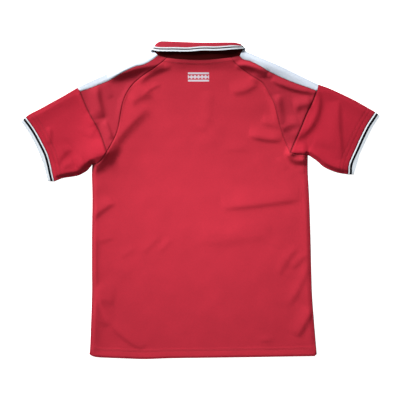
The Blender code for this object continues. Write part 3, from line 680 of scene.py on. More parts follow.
def strip_surface(side, seam_depth, band):
    """White strip, from its back seam over the shoulder fold to its front seam."""
    faces = []
    for seam, upper in (("stripe", True), ("front", False)):
        width = np.linalg.norm(side["shoulder"] - side[seam], axis=1)[:, None]
        crowded = np.linspace(0, 1, STRIP_COLUMNS, endpoint=False) ** STRIP_CROWDING
        across = np.hstack([crowded * (width - EDGE_RADIUS), width - roll_steps()[::-1]]) / width
        plan = side[seam][:, None] + (side["shoulder"] - side[seam])[:, None] * across[..., None]
        xy = plan.reshape(-1, 2)
        added = sewn(xy, side, {seam: band, "armhole": 0}, seam_depth)
        faces.append(layer(plan, upper, added + neck_height(xy) * upper))
    back, front = faces
    return np.concatenate([back, front[:, -2::-1]], axis=1)


def tube_surface(plan, added):
    """A flattened tube: in along the lower layer of the plan and out along the upper one."""
    lower, upper = layer(plan, False, added), layer(plan, True, added)
    return np.concatenate([lower[:, ::-1], upper[:, 1:]], axis=1)


def sleeve_surface(side, seam_depth, band):
    """Sleeve and the row from which it is a tube: before that row it is open along the underarm."""
    ends = [side["top"][0], side["armhole"][0]]
    shoulder_end = graded(ends, SLEEVE_END_STEPS, start=roll_steps())
    armhole = joined(shoulder_end, side["armhole"])
    columns = len(armhole)
    cuff = graded(side["cuff"], columns - 2 * len(ROLL_TURNS) + 1, roll_steps(), roll_steps())
    under = joined(side["underarm"], graded(side["under"], SLEEVE_STEPS, end=NEAR_CUFF))
    top = graded(side["top"], len(under) - len(NEAR_CUFF), end=NEAR_CUFF)
    tube_from = len(side["underarm"]) - 1
    share = ease(np.arange(len(under)) / tube_from)[:, None]
    plan = patch(armhole, cuff, top, under, shares(armhole) * (1 - share) + shares(cuff) * share)
    xy = plan.reshape(-1, 2)
    seams = sewn(xy, side, {"armhole": band, "underarm": 0, "cuff_seam": 0}, seam_depth)
    return tube_surface(plan, seams + cuff_height(xy, side)), tube_from


def cuff_surface(side, seam_depth):
    """Rib cuff: a short flattened tube at the end of the sleeve."""
    columns = len(LEFT["armhole"])
    seam, edge = [graded(side[line], columns, roll_steps(), roll_steps())
                  for line in ("cuff", "edge")]
    down = np.linspace(0, 1, CUFF_ROWS + 1)[:, None, None]
    plan = seam * (1 - down) + edge * down
    return tube_surface(plan, sewn(plan.reshape(-1, 2), side, {"cuff_seam": 0}, seam_depth))


# The collar

def wall_middle(outer):
    """Middle of the cloth along the first row of a grid of its outer face."""
    return (outer - CLOTH / 2 * outward(outer))[0]


def into_opening(run, side):
    """A step of the collar's gap in the plane, square to a run and towards the neck opening."""
    step = np.array([-run[1], run[0], 0]) * np.sign(side["neck_point"][0])
    return COLLAR_GAP * step / np.linalg.norm(step)


def neck_half(side, seam_depth, band):
    """Half of the neckline, from the V over the shoulder to the back, and its point on the fold."""
    slope = np.array([V_POINT, side["neck_point"]], float)
    front = at(slope, np.linspace(COLLAR_END, runs(slope)[-1], V_STEPS + 1)[:-1])
    over = wall_middle(strip_surface(side, seam_depth, band))[::-1]
    fold = len(over) // 2
    back = at(side["neck"], np.linspace(0, 1, NECK_END_STEPS + 1)[1:] * runs(side["neck"])[-1])
    lower = layer(front[None], False)[0] + (0, 0, CLOTH / 2)
    lower = lower + into_opening(slope[1] - slope[0], side)
    upper = layer(back[None], True)[0] + (0, COLLAR_GAP, -CLOTH / 2)
    over = over + into_opening(over[fold] - over[-1], side)
    return np.vstack([lower, over, upper]), len(lower) + fold


def neck_path(seam_depth, band):
    """The whole neckline at the middle of the cloth, and the collar's station at each point."""
    halves = [neck_half(side, seam_depth, band) for side in (LEFT, RIGHT)]
    (left, left_fold), (right, right_fold) = halves
    back = layer(graded(NECK, NECK_STEPS)[None, 1:-1], True)[0] + (0, COLLAR_GAP, -CLOTH / 2)
    path = np.vstack([left, back, right[::-1]])
    along = runs(path)
    folds_at = np.array([along[left_fold], along[len(path) - 1 - right_fold]])
    marks = [0, folds_at[0], folds_at.mean(), folds_at[1], along[-1]]
    return path, np.interp(along, marks, [-2, -1, 0, 1, 2])


def collar_surface(seam_depth, band):
    """Middle of the collar's rib, in rows from the edge of its fall to its foot. At each station a
    straight stand from the neck edge, half a circle for the fold and a straight fall back from it,
    with a slow wave along the fall's edge."""
    foot, stations = neck_path(seam_depth, band)
    table = smooth(np.array(COLLAR_STATIONS, float))
    table = table[np.argsort(table[:, 0], kind="stable")].T
    values = np.stack([np.interp(stations, table[0], column) for column in table[1:]], axis=1)
    fold, fall, radius = values[:, :3], values[:, 3:6], values[:, 6:]
    calm = np.clip(1 - np.abs(stations), 0, 1)
    turn, start = COLLAR_WAVE
    fall[:, 1] += calm * np.sin(stations * turn + start)
    along = np.gradient(fold, axis=0)
    along /= np.linalg.norm(along, axis=1, keepdims=True)
    out = fold - (foot + fall) / 2
    out -= along * (out * along).sum(axis=1, keepdims=True)
    out /= np.linalg.norm(out, axis=1, keepdims=True)
    across = np.cross(along, out)
    across *= np.sign((across * (fall - foot)).sum(axis=1, keepdims=True))
    turns = np.linspace(-np.pi / 2, np.pi / 2, COLLAR_STEPS["fold"] + 1)
    bend = [fold + radius * ((np.cos(t) - 1) * out + np.sin(t) * across) for t in turns]
    stand = [foot + (bend[0] - foot) * t
             for t in np.linspace(0, 1, COLLAR_STEPS["stand"], endpoint=False)]
    leaf = [bend[-1] + (fall - bend[-1]) * np.sin(t)
            for t in np.linspace(0, np.pi / 2, COLLAR_STEPS["fall"] + 1)[1:]]
    return np.stack((stand + bend + leaf)[::-1])


# Meshes

def outward(points, tube_from=None):
    """Unit normals of a grid: the cross product of its slopes down and across. They are all turned the
    one way that points up above the middle of the rolled edge and down below it. The rows that close
    to a tube take the slope at the closing column from both sides of it."""
    down = np.gradient(points, axis=0)
    across = np.gradient(points, axis=1)
    if tube_from is not None:
        closing = (points[tube_from:, 1] - points[tube_from:, -2]) / 2
        across[tube_from:, 0] = closing
        across[tube_from:, -1] = closing
    normal = np.cross(down, across)
    normal /= np.linalg.norm(normal, axis=-1, keepdims=True)
    return normal * np.sign((normal[..., 2] * (points[..., 2] - EDGE_RADIUS)).sum())


def from_middle(points, axis):
    """Distance of each point of a grid from the middle of its row or column, measured along it."""
    steps = np.linalg.norm(np.diff(points, axis=axis), axis=-1)
    start = np.zeros_like(steps.take([0], axis))
    run = np.concatenate([start, np.cumsum(steps, axis=axis)], axis=axis)
    return run - run.take([run.shape[axis] // 2], axis)


def cloth_map(outer):
    """Place in the cloth of each point: along its row from the middle, and down its column."""
    down = from_middle(outer, 0)
    return np.stack([from_middle(outer, 1), down - down[:1]], axis=-1)


def add_mesh(name, points, faces, uv=None):
    """Object of a mesh in metres, with its faces out and smooth but for its rims."""
    mesh = bpy.data.meshes.new(name)
    mesh.from_pydata((points * MM).tolist(), [], faces)
    if uv is not None:
        mesh.uv_layers.new(name=CLOTH_MAP).data.foreach_set("uv", (uv * MM).ravel())
    body = bmesh.new()
    body.from_mesh(mesh)
    bmesh.ops.recalc_face_normals(body, faces=body.faces)
    body.to_mesh(mesh)
    body.free()
    mesh.shade_smooth()
    mesh.set_sharp_from_angle(angle=RIM_ANGLE)
    piece = bpy.data.objects.new(name, mesh)
    bpy.context.scene.collection.objects.link(piece)
    return piece


def add_wall(name, outer, inner, tube_from=None, flat=False):
    """Closed wall between two grids of points, with the place in the cloth as its UV map.

    The place is worked out along the rows and columns, or is the plan where the cloth lies flat. From
    the row tube_from on, the last column is the first one again and the wall is a tube.
    """
    rows, columns = outer.shape[:2]
    size = rows * columns
    corners = np.arange(size).reshape(rows, columns)
    open_rows = corners[:rows if tube_from is None else tube_from + 1]
    borders = [corners[0], corners[-1], open_rows[:, 0], open_rows[:, -1]]
    cells = [corners[:-1, :-1], corners[:-1, 1:], corners[1:, 1:], corners[1:, :-1]]
    quads = np.stack(cells, axis=-1).reshape(-1, 4)
    rims = [np.stack([line[1:], line[:-1], line[:-1] + size, line[1:] + size], axis=-1)
            for line in borders]
    loops = np.vstack([quads, quads + size] + rims)
    weld = np.arange(2 * size)
    if tube_from is not None:
        for part in (0, size):
            weld[part + corners[tube_from:, -1]] = part + corners[tube_from:, 0]
    used, faces = np.unique(weld[loops], return_inverse=True)
    points = np.vstack([outer.reshape(-1, 3), inner.reshape(-1, 3)])[used]
    place = outer[..., :2] * (1, -1) if flat else cloth_map(outer)
    uv = np.vstack([place.reshape(-1, 2)] * 2)[loops]
    return add_mesh(name, points, faces.reshape(-1, 4).tolist(), uv)


def seam_shade_lines(side, *seams, share=1):
    """The named seams of a side, each with its share of the painted shade."""
    return [(side[seam], share) for seam in seams]


def shade_lines_beside(line, table, turn=1):
    """Lines at the distances of a table to the left of a line, or to its right where turn is -1, each
    with its share of the painted shade."""
    return [(beside(line, turn * distance), share) for distance, share in table]


def mark_painted_shade(piece, shade_lines):
    """Stores at each vertex how much painted shade it takes: the highest of the bell curves of its
    distance in the plane to the shade's lines, each times its share."""
    place = np.empty(3 * len(piece.data.vertices))
    piece.data.vertices.foreach_get("co", place)
    xy = place.reshape(-1, 3)[:, :2] / MM
    shade_levels = [share * np.exp(-(to_line(xy, line) / SHADE_REACH) ** 2) for line, share in shade_lines]
    marks = piece.data.attributes.new(SHADE_ATTRIBUTE, "FLOAT", "POINT")
    marks.data.foreach_set("value", np.max(shade_levels, axis=0))


# Stitches

def beside(line, distance):
    """A line in the plane, moved to its left by a distance, where that is clear of the rolled edges."""
    moved = line + outward_directions(line) * distance
    clear = edge_distance(moved) > EDGE_RADIUS
    clear &= np.abs(to_line(moved, line) - abs(distance)) < PARALLEL_SLACK
    return moved[clear]


def stitches(points, up):
    """Row of stitches on a line: each is a spindle whose radius goes with the square root of a sine, on
    a middle that arcs out of the cloth in the same way. Returns its points and faces."""
    marks = np.arange(STITCH_PITCH, runs(points)[-1] - STITCH_PITCH, STITCH_PITCH)
    start = at(points, marks)[:, None, None]
    run = at(points, marks + STITCH_LENGTH)[:, None, None] - start
    side = np.cross(run, up)
    side /= np.linalg.norm(side, axis=-1, keepdims=True)
    part = np.linspace(*STITCH_SPAN, STITCH_RINGS)[:, None, None]
    turn = (np.arange(STITCH_RINGS) * 2 * np.pi / STITCH_RINGS)[:, None]
    bulge = np.sqrt(np.sin(np.pi * part))
    ring = np.cos(turn) * side + np.sin(turn) * up
    middle = start + run * part + up * STITCH_RADIUS * (STITCH_ARCH * bulge - 1)
    shape = middle + STITCH_RADIUS * bulge * ring
    corners = np.arange(shape.size // 3).reshape(shape.shape[:3])
    turned = np.roll(corners, -1, axis=2)
    quads = np.stack([corners[:, :-1], turned[:, :-1], turned[:, 1:], corners[:, 1:]], axis=-1)
    caps = corners[:, [0, -1]].reshape(-1, STITCH_RINGS)
    return shape.reshape(-1, 3), quads.reshape(-1, 4).tolist() + caps.tolist()


def add_stitches(name, rows):
    """One object of several rows, each a line in the plane, its layer and the height added there."""
    points, faces, count = [], [], 0
    for line, upper, added in rows:
        up = np.array([0, 0, 1 if upper else -1])
        row, row_faces = stitches(layer(line[None], upper, added)[0], up)
        points.append(row)
        faces += [[corner + count for corner in face] for face in row_faces]
        count += len(row)
    return add_mesh(name, np.vstack(points), faces)


# Materials

def linear(colour):
    """Linear colour of an sRGB hex value: a power of 2.4 above its straight dark toe."""
    channels = np.array([int(colour[k:k + 2], 16) for k in (1, 3, 5)]) / 255
    return np.where(channels > 0.04045, ((channels + 0.055) / 1.055) ** 2.4, channels / 12.92).tolist()


def add_node(tree, kind, inputs=(), out=0, **settings):
    """Adds a node with its settings, gives its inputs a value or a link, and returns one output."""
    node = tree.nodes.new(kind)
    for name, value in settings.items():
        setattr(node, name, value)
    for socket, value in dict(inputs).items():
        if isinstance(value, bpy.types.NodeSocket):
            tree.links.new(value, node.inputs[socket])
        else:
            node.inputs[socket].default_value = value
    return node.outputs[out]


def new_material(name, **sockets):
    """Material with a Principled shader whose constant sockets are set, its tree and that shader."""
    material = bpy.data.materials.new(name)
    material.use_nodes = True
    shader = material.node_tree.nodes["Principled BSDF"]
    for socket, value in sockets.items():
        shader.inputs[socket.replace("_", " ").title().replace("Ior", "IOR")].default_value = value
    return material, material.node_tree, shader


def cloth_place(tree):
    """Sockets of the place in the cloth in metres: across it and down it."""
    place = add_node(tree, "ShaderNodeUVMap", uv_map=CLOTH_MAP)
    across = add_node(tree, "ShaderNodeSeparateXYZ", {0: place})
    return across, across.node.outputs[1]


def between(tree, value, low, high):
    """Socket that is 1 where a value lies between two limits, with soft borders, and else 0."""
    borders = [{0: value, 1: limit - PRINT_BLUR, 2: limit + PRINT_BLUR} for limit in (low, high)]
    ends = [add_node(tree, "ShaderNodeMapRange", border, interpolation_type="SMOOTHSTEP")
            for border in borders]
    return add_node(tree, "ShaderNodeMath", {0: ends[0], 1: ends[1]}, operation="SUBTRACT")


def mix(tree, share, first, second):
    """Socket of a blend of two colours."""
    return add_node(tree, "ShaderNodeMix", {0: share, 6: first, 7: second}, out=2, data_type="RGBA")


def uneven_dye(tree, colour):
    """Socket of a dyed colour with broad clouds and a fine grain, a few per cent deep."""
    place = add_node(tree, "ShaderNodeTexCoord", out=3)
    clouds, grain = [
        add_node(tree, "ShaderNodeTexNoise", {"Vector": place, "Scale": 1 / size, "Detail": detail})
        for size, detail in ((DYE_CLOUD, 3), (DYE_GRAIN, 2))]
    both = add_node(tree, "ShaderNodeMath", {0: clouds, 1: grain}, operation="ADD")
    low, high = DYE_NOISE
    share = add_node(tree, "ShaderNodeMapRange", {0: both, 1: low, 2: high})
    shades = [add_node(tree, "ShaderNodeVectorMath", {0: colour, "Scale": level}, operation="SCALE")
              for level in (1 - DYE_SPREAD, 1 + DYE_SPREAD)]
    return mix(tree, share, *shades)


def in_painted_shade(tree, colour):
    """Socket of a colour darkened by painted shade, in the seams and rows of stitches and beside them.
    """
    depth = add_node(tree, "ShaderNodeAttribute", out=2, attribute_name=SHADE_ATTRIBUTE)
    level = add_node(tree, "ShaderNodeMapRange", {0: depth, 3: 1, 4: 1 - SHADE_DEPTH})
    return add_node(tree, "ShaderNodeVectorMath", {0: colour, "Scale": level}, operation="SCALE")


def rib_relief(tree, across, pitch):
    """Socket of the height of round ribs, side by side: the absolute value of a sine."""
    turn = add_node(tree, "ShaderNodeMath", {0: across, 1: np.pi / pitch}, operation="MULTIPLY")
    sine = add_node(tree, "ShaderNodeMath", {0: turn}, operation="SINE")
    return add_node(tree, "ShaderNodeMath", {0: sine}, operation="ABSOLUTE")


def loop_relief(tree):
    """Socket of the height of knitted loops: round upright wales, crossed by the sine of the courses,
    which dip into a V in each of them."""
    across, down = cloth_place(tree)
    ridge = rib_relief(tree, across, WALE)
    step = add_node(tree, "ShaderNodeMath", {0: down, 1: 2 * np.pi / COURSE}, operation="MULTIPLY")
    bend = {0: ridge, 1: COURSE_DIP, 2: step}
    bent = add_node(tree, "ShaderNodeMath", bend, operation="MULTIPLY_ADD")
    wave = add_node(tree, "ShaderNodeMath", {0: bent}, operation="SINE")
    relief = {0: wave, 1: COURSE_SHARE, 2: ridge}
    return add_node(tree, "ShaderNodeMath", relief, operation="MULTIPLY_ADD")


def finish_knit(tree, shader, colour, relief, depth):
    """Links a knit's colour, its relief as bump and a roughness that is lower on top of the loops."""
    tree.links.new(colour, shader.inputs["Base Color"])
    bump = add_node(tree, "ShaderNodeBump", {"Height": relief, "Strength": 0.6, "Distance": depth})
    tree.links.new(bump, shader.inputs["Normal"])
    hollow, top = KNIT_ROUGHNESS
    gloss = add_node(tree, "ShaderNodeMapRange", {0: relief, 1: 0, 2: 1, 3: hollow, 4: top})
    tree.links.new(gloss, shader.inputs["Roughness"])


def interlock_knit(name, colour, artwork=None):
    """Polyester interlock, knitted on a fine round machine and dyed: matt, with a slight sheen at
    grazing angles and loops too fine to tell apart. A print is inked on it in the artwork's colour, and
    painted shade darkens it where its piece marks it."""
    material, tree, shader = new_material(name, ior=1.5, specular_ior_level=0.15, sheen_weight=0.05,
                                          sheen_roughness=0.45)
    shade = uneven_dye(tree, (*colour,))
    if artwork is not None:
        shade = mix(tree, neck_artwork(tree), shade, (*artwork, 1))
    finish_knit(tree, shader, in_painted_shade(tree, shade), loop_relief(tree), LOOP_DEPTH)
    return material


def striped_rib(name, ground, stripes, colours):
    """Cotton and polyester rib with knitted-in stripes: upright ribs, matt, with soft edges to the
    stripes. Each stripe is its two distances down the rib and the name of its colour; a band may be
    painted shadow instead, as the collar's stand is."""
    material, tree, shader = new_material(name, ior=1.5, specular_ior_level=0.05)
    across, down = cloth_place(tree)
    shade = (*ground, 1)
    for low, high, colour in stripes:
        stripe = between(tree, down, low * MM, high * MM)
        shade = mix(tree, stripe, shade, (*getattr(colours, colour), 1))
    relief = rib_relief(tree, across, RIB_PITCH)
    finish_knit(tree, shader, uneven_dye(tree, shade), relief, RIB_DEPTH)
    return material


def neck_artwork(tree):
    """Socket that is 1 on the print under the neck, on the outside of the cloth: two bars, with a row
    of small squares on their corners between them."""
    place = add_node(tree, "ShaderNodeTexCoord", out=3)
    across = add_node(tree, "ShaderNodeSeparateXYZ", {0: place})
    down = across.node.outputs[1]
    x, y = PRINT_PLACE
    width, height = PRINT_SIZE
    across = add_node(tree, "ShaderNodeMath", {0: across, 1: x * MM}, operation="SUBTRACT")
    down = add_node(tree, "ShaderNodeMath", {0: down, 1: y * MM}, operation="SUBTRACT")
    side = add_node(tree, "ShaderNodeMath", {0: down}, operation="ABSOLUTE")
    bars = between(tree, side, (height / 2 - PRINT_BAR) * MM, height / 2 * MM)
    pitch = width / PRINT_SQUARES * MM
    beside_middle = add_node(tree, "ShaderNodeMath", {0: across, 1: pitch / 2}, operation="PINGPONG")
    corner = add_node(tree, "ShaderNodeMath", {0: beside_middle, 1: side}, operation="ADD")
    squares = between(tree, corner, -1, PRINT_SQUARE / 2 * MM)
    marks = add_node(tree, "ShaderNodeMath", {0: bars, 1: squares}, operation="MAXIMUM")
    inside = between(tree, across, -width / 2 * MM, width / 2 * MM)
    printed = add_node(tree, "ShaderNodeMath", {0: marks, 1: inside}, operation="MULTIPLY")
    normal = add_node(tree, "ShaderNodeNewGeometry", out=1)
    upward = add_node(tree, "ShaderNodeSeparateXYZ", {0: normal}, out=2)
    outside = add_node(tree, "ShaderNodeMath", {0: upward, 1: 0}, operation="GREATER_THAN")
    return add_node(tree, "ShaderNodeMath", {0: printed, 1: outside}, operation="MULTIPLY")


def thread(name, colour):
    """Spun polyester sewing thread: two plies twisted together, a little glossier than the knit."""
    material, tree, shader = new_material(name, ior=1.5, specular_ior_level=0.4, sheen_weight=0.1)
    place = add_node(tree, "ShaderNodeTexCoord", out=3)
    twist = {"Vector": place, "Scale": 1 / PLY_PITCH, "Distortion": 1.5}
    plies = add_node(tree, "ShaderNodeTexWave", twist, bands_direction="DIAGONAL")
    dark, light = [(*(np.array(colour) * level).tolist(), 1) for level in THREAD_SHADES]
    tree.links.new(mix(tree, plies, dark, light), shader.inputs["Base Color"])
    hollow, top = THREAD_ROUGHNESS
    gloss = add_node(tree, "ShaderNodeMapRange", {0: plies, 3: hollow, 4: top})
    tree.links.new(gloss, shader.inputs["Roughness"])
    bump = add_node(tree, "ShaderNodeBump", {"Height": plies, "Strength": 0.4, "Distance": PLY_DEPTH})
    tree.links.new(bump, shader.inputs["Normal"])
    return material


# Settings

def millimetres(name, description, default, low, high):
    """A size in millimetres that a user may change between two limits."""
    return FloatProperty(name=name, description=f"{description} in millimetres", default=default,
                         min=low, max=high)


def colour_of(name, description, colour):
    """A colour that a user may change, from its sRGB hex value."""
    return FloatVectorProperty(name=name, description=description, subtype="COLOR",
                               default=linear(colour), min=0, max=1)


class JerseySizes(bpy.types.PropertyGroup):
    """Sizes of the cloth and of its sewing"""

    cloth: millimetres("Knit", "Thickness of the knitted panels", CLOTH, 1, 3)
    rib: millimetres("Rib", "Thickness of the collar and the cuffs", RIB, 1, 3)
    seam_depth: millimetres("Seam depth", "Depth of the valley along a seam", 0.8, 0, 1.5)
    allowance: millimetres("Allowance", "Height of a seam allowance under the cloth", 0.5, 0, 1.5)


class JerseyColours(bpy.types.PropertyGroup):
    """Colours of the cloth, the stripes and the print"""

    body: colour_of("Body", "Dyed knit of the front and the back", RED)
    # A darker copy of the body's red: painted shade on the yokes.
    yoke: colour_of("Yokes", "Dyed knit of the yokes", SHADED_YOKE_RED)
    # A darker copy of the body's red: painted shade on the sleeves.
    sleeve: colour_of("Sleeves", "Dyed knit of the sleeves", SHADED_SLEEVE_RED)
    white: colour_of("White strips", "Knit of the strips over the shoulders", WHITE)
    collar: colour_of("Collar", "Dyed rib of the collar", COLLAR_RED)
    # The stand's colour is painted shadow of the fall.
    stand_shadow: colour_of("Under the collar", "Rib of the collar's stand", STAND_SHADOW)
    rib_white: colour_of("White rib", "Rib of the cuffs and white tipping of the collar", RIB_WHITE)
    dark: colour_of("Dark stripes", "Dark stripes of the collar and the cuffs", DARK)
    artwork: colour_of("Print", "Ink of the print under the neck", PRINT_WHITE)


def settings(context):
    """The sizes and the colours that are set in the scene."""
    return context.scene.jersey_sizes, context.scene.jersey_colours


def slotted(piece, node, material):
    """Gives a piece its material and its body, and hides the solid of the node that it stands for."""
    piece.data.materials.append(material)
    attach(piece, BODY)
    if node is not None:
        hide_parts(node)
    return piece


def cut_size(outer, wrapped):
    """Width and length of a cut in metres: of a wrapped piece its longest row and column, and of a flat
    one its extents along the axes in which its points spread least and most."""
    if wrapped:
        spans = [np.ptp(from_middle(outer, axis), axis=axis).max() for axis in (1, 0)]
    else:
        plan = outer[..., :2].reshape(-1, 2)
        spans = np.ptp(plan @ np.linalg.eigh(np.cov(plan.T))[1], axis=0)
    return [float(span) * MM for span in spans]


def declare_cut(outer, wrapped=False):
    """Works out the width and the length of a piece's cut, and keeps neither."""
    cut_size(outer, wrapped)


def add_thread(name, rows, material):
    """The rows of stitches that a piece of cloth carries, which stand for no node of their own."""
    return slotted(add_stitches(name, rows), None, material)


def panel_wall(node, outer, thickness, material, wrapped=False,
               tube_from=None):
    """The cut piece of cloth that stands for a node: a wall on the inner side of its outer face."""
    inner = outer - thickness * outward(outer, tube_from)
    piece = add_wall(f"{node}_cloth", outer, inner, tube_from, not wrapped)
    slotted(piece, node, material)
    declare_cut(outer, wrapped)
    return piece


# Operators

class JERSEY_OT_back_panel(bpy.types.Operator):
    """Add the back panel, with its hem, the neck tape's row and the print under the neck"""
    bl_idname = "jersey.back_panel"
    bl_label = "Back Panel"

    def execute(self, context):
        sizes, colours = settings(context)
        hems = [beside(smooth(HEM), distance) for distance in HEM_LINES]
        tape = beside(neck_edge_line(), -NECK_LINE)
        rows = [(line, True, hem_height(line)) for line in hems] + [(tape, True, neck_height(tape))]
        spun = thread("spun_thread_red", colours.body)
        row = add_thread("back_topstitches", rows, spun)
        knit = interlock_knit("interlock_knit_body_printed", colours.body, colours.artwork)
        outer = back_surface(sizes.seam_depth)
        piece = panel_wall("back_body", outer, sizes.cloth, knit)
        # Painted shade on the rows of stitches and the seams, the collar's shadow under the neck, the
        # sleeves' shadow beside the underarms, and shade along the side edges
        shade_lines = [(line, ROW_SHADE) for line in (*hems, tape)]
        shade_lines += shade_lines_beside(neck_edge_line(), COLLAR_SHADOWS, -1)
        for side, rolled, down in ((LEFT, EDGE_RADIUS, 1), (RIGHT, 0, -1)):
            shade_lines += seam_shade_lines(side, "underarm") + seam_shade_lines(side, "raglan", share=RAGLAN_SHADE)
            shade_lines += shade_lines_beside(side["underarm"], UNDERARM_SHADOWS, down)
            shade_lines.append((np.array(side["side"]) + (rolled, 0), SIDE_SHADE))
        shade_lines.append((np.array(LEFT["side"]) + (PUFF_SHADE_PLACE, 0), PUFF_SHADE))
        mark_painted_shade(piece, shade_lines)
        return {"FINISHED"}


class JERSEY_OT_front_panel(bpy.types.Operator):
    """Add the front panel, which lies on the surface, with its hem"""
    bl_idname = "jersey.front_panel"
    bl_label = "Front Panel"

    def execute(self, context):
        sizes, colours = settings(context)
        hems = [beside(smooth(HEM), distance) for distance in HEM_LINES]
        rows = [(line, False, front_hem_height(line)) for line in hems]
        spun = thread("spun_thread_front", colours.body)
        row = add_thread("front_topstitches", rows, spun)
        knit = interlock_knit("interlock_knit_body", colours.body)
        outer = front_surface(sizes.seam_depth)
        panel_wall("front_body", outer, sizes.cloth, knit)
        return {"FINISHED"}


class JERSEY_OT_yokes(bpy.types.Operator):
    """Add the two yoke pieces of the back"""
    bl_idname = "jersey.yokes"
    bl_label = "Yokes"

    def execute(self, context):
        sizes, colours = settings(context)
        knit = interlock_knit("interlock_knit_yoke_shaded", colours.yoke)
        for name, side in SIDES.items():
            outer = yoke_surface(side, sizes.seam_depth)
            piece = panel_wall(f"shoulder_back_{name}", outer, sizes.cloth, knit)
            # Painted shade in the seams, and the collar's painted shadow under the neck
            shade_lines = seam_shade_lines(side, "raglan", share=RAGLAN_SHADE)
            shade_lines += shade_lines_beside(neck_edge_line(), COLLAR_SHADOWS, -1)
            mark_painted_shade(piece, shade_lines + seam_shade_lines(side, "stripe", "armhole"))
        return {"FINISHED"}


class JERSEY_OT_white_strips(bpy.types.Operator):
    """Add the white strips that wrap over the shoulder folds"""
    bl_idname = "jersey.white_strips"
    bl_label = "White Strips"

    def execute(self, context):
        sizes, colours = settings(context)
        knit = interlock_knit("interlock_knit_white", colours.white)
        for name, side in SIDES.items():
            outer = strip_surface(side, sizes.seam_depth, sizes.allowance)
            piece = panel_wall(f"shoulder_stripe_{name}", outer, sizes.cloth, knit,
                               wrapped=True)
            mark_painted_shade(piece, seam_shade_lines(side, "stripe", "armhole", share=STRIP_SHADE))
        return {"FINISHED"}


class JERSEY_OT_sleeves(bpy.types.Operator):
    """Add the sleeves, each a flattened tube with two rows of stitches beside its cuff"""
    bl_idname = "jersey.sleeves"
    bl_label = "Sleeves"

    def execute(self, context):
        sizes, colours = settings(context)
        knit = interlock_knit("interlock_knit_sleeve_shaded", colours.sleeve)
        spun = thread("spun_thread_sleeve_shaded", colours.sleeve)
        for name, side in SIDES.items():
            outer, tube_from = sleeve_surface(side, sizes.seam_depth, sizes.allowance)
            inward = 1 if name == "left" else -1
            lines = [beside(side["cuff_seam"], inward * distance) for distance in CUFF_LINES]
            rows = [(line, upper, cuff_height(line, side)) for line in lines for upper in (True, False)]
            row = add_thread(f"sleeve_{name}_topstitches", rows, spun)
            piece = panel_wall(f"sleeve_{name}", outer, sizes.cloth, knit,
                               wrapped=True, tube_from=tube_from)
            # Painted shade on the rows of stitches, in the seams and along the folded top
            shade_lines = [(line, ROW_SHADE) for line in lines]
            shade_lines += shade_lines_beside(smooth(side["top"]), TOP_SHADES, inward)
            mark_painted_shade(piece, shade_lines + seam_shade_lines(side, "armhole", "underarm", "cuff_seam"))
        return {"FINISHED"}


class JERSEY_OT_cuffs(bpy.types.Operator):
    """Add the striped rib cuffs"""
    bl_idname = "jersey.cuffs"
    bl_label = "Cuffs"

    def execute(self, context):
        sizes, colours = settings(context)
        rib = striped_rib("rib_knit_cuff", colours.rib_white, CUFF_STRIPES, colours)
        for name, side in SIDES.items():
            outer = cuff_surface(side, sizes.seam_depth)
            panel_wall(f"cuff_{name}", outer, sizes.rib, rib, wrapped=True,
                       tube_from=0)
        return {"FINISHED"}


class JERSEY_OT_collar(bpy.types.Operator):
    """Add the folded collar with its striped tipping"""
    bl_idname = "jersey.collar"
    bl_label = "Collar"

    def execute(self, context):
        sizes, colours = settings(context)
        rib = striped_rib("rib_knit_collar", colours.collar, TIPPING, colours)
        middle = collar_surface(sizes.seam_depth, sizes.allowance)
        out = outward(middle) * sizes.rib / 2
        piece = add_wall("collar_cloth", middle + out, middle - out)
        slotted(piece, "collar", rib)
        declare_cut(middle, wrapped=True)
        return {"FINISHED"}


def add_lamp(name, kind, place, **light):
    """A lamp with its settings at a place, shining straight down."""
    data = bpy.data.lights.new(name, kind)
    for setting, value in light.items():
        setattr(data, setting, value)
    lamp = bpy.data.objects.new(name, data)
    lamp.location = place
    bpy.context.scene.collection.objects.link(lamp)
    return lamp


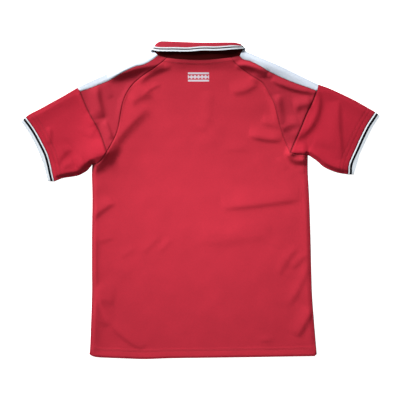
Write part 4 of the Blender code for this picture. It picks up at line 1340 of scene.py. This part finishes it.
class JERSEY_OT_stage(bpy.types.Operator):
    """Add the floor, the lights and the camera straight above"""
    bl_idname = "jersey.stage"
    bl_label = "Stage"

    def execute(self, context):
        scene = context.scene
        corners = np.array([(-1, -1, 0), (1, -1, 0), (1, 1, 0), (-1, 1, 0)]) * FLOOR_SIZE / 2
        floor = add_mesh("floor", corners, [[0, 1, 2, 3]])
        board, _, _ = new_material("backlit_acrylic_board", base_color=(*linear(FLOOR_COLOUR), 1),
                                   roughness=0.9, specular_ior_level=0.2,
                                   emission_color=(1, 1, 1, 1), emission_strength=FLOOR_GLOW)
        floor.data.materials.append(board)
        floor.visible_diffuse = False

        sky = bpy.data.worlds.new("studio")
        sky.use_nodes = True
        sky.node_tree.nodes["Background"].inputs["Color"].default_value = (1, 1, 1, 1)
        sky.node_tree.nodes["Background"].inputs["Strength"].default_value = FILL
        scene.world = sky

        key = add_lamp("softbox", "AREA", KEY_PLACE, energy=KEY_POWER, size=KEY_SIZE)
        key.rotation_euler = (-key.location).to_track_quat("-Z", "Y").to_euler()
        add_lamp("overhead", "SPOT", POOL_PLACE, energy=POOL_POWER, shadow_soft_size=POOL_SIZE,
                 spot_size=2 * np.arctan(POOL_RADIUS / POOL_PLACE[2]), spot_blend=1)

        lens = bpy.data.cameras.new("camera")
        lens.sensor_width = SENSOR
        lens.lens = SENSOR * CAMERA_HEIGHT / FRAME_WIDTH
        camera = bpy.data.objects.new("camera", lens)
        camera.location = (*CAMERA_PLACE, CAMERA_HEIGHT)
        scene.collection.objects.link(camera)
        scene.camera = camera
        scene.view_settings.view_transform = "Standard"
        return {"FINISHED"}


class JERSEY_PT_sidebar(bpy.types.Panel):
    """Lists the pieces, the sizes and the colours"""
    bl_idname = "JERSEY_PT_sidebar"
    bl_label = "Football Jersey"
    bl_space_type = "VIEW_3D"
    bl_region_type = "UI"
    bl_category = "Jersey"

    def draw(self, context):
        layout = self.layout
        for group in settings(context):
            for setting in group.__annotations__:
                layout.prop(group, setting)
        for operator in OPERATORS:
            layout.operator(operator.bl_idname)


OPERATORS = (
    JERSEY_OT_front_panel, JERSEY_OT_back_panel, JERSEY_OT_yokes, JERSEY_OT_white_strips,
    JERSEY_OT_sleeves, JERSEY_OT_cuffs, JERSEY_OT_collar, JERSEY_OT_stage,
)
CLASSES = (JerseySizes, JerseyColours, JERSEY_PT_sidebar, *OPERATORS)


def register():
    for item in CLASSES:
        bpy.utils.register_class(item)
    bpy.types.Scene.jersey_sizes = PointerProperty(type=JerseySizes)
    bpy.types.Scene.jersey_colours = PointerProperty(type=JerseyColours)


def unregister():
    del bpy.types.Scene.jersey_colours
    del bpy.types.Scene.jersey_sizes
    for item in reversed(CLASSES):
        bpy.utils.unregister_class(item)


def main():
    """Adds all the pieces and the stage."""
    register()
    for operator in OPERATORS:
        getattr(bpy.ops.jersey, operator.bl_idname.split(".")[1])()


if __name__ == "__main__":
    main()
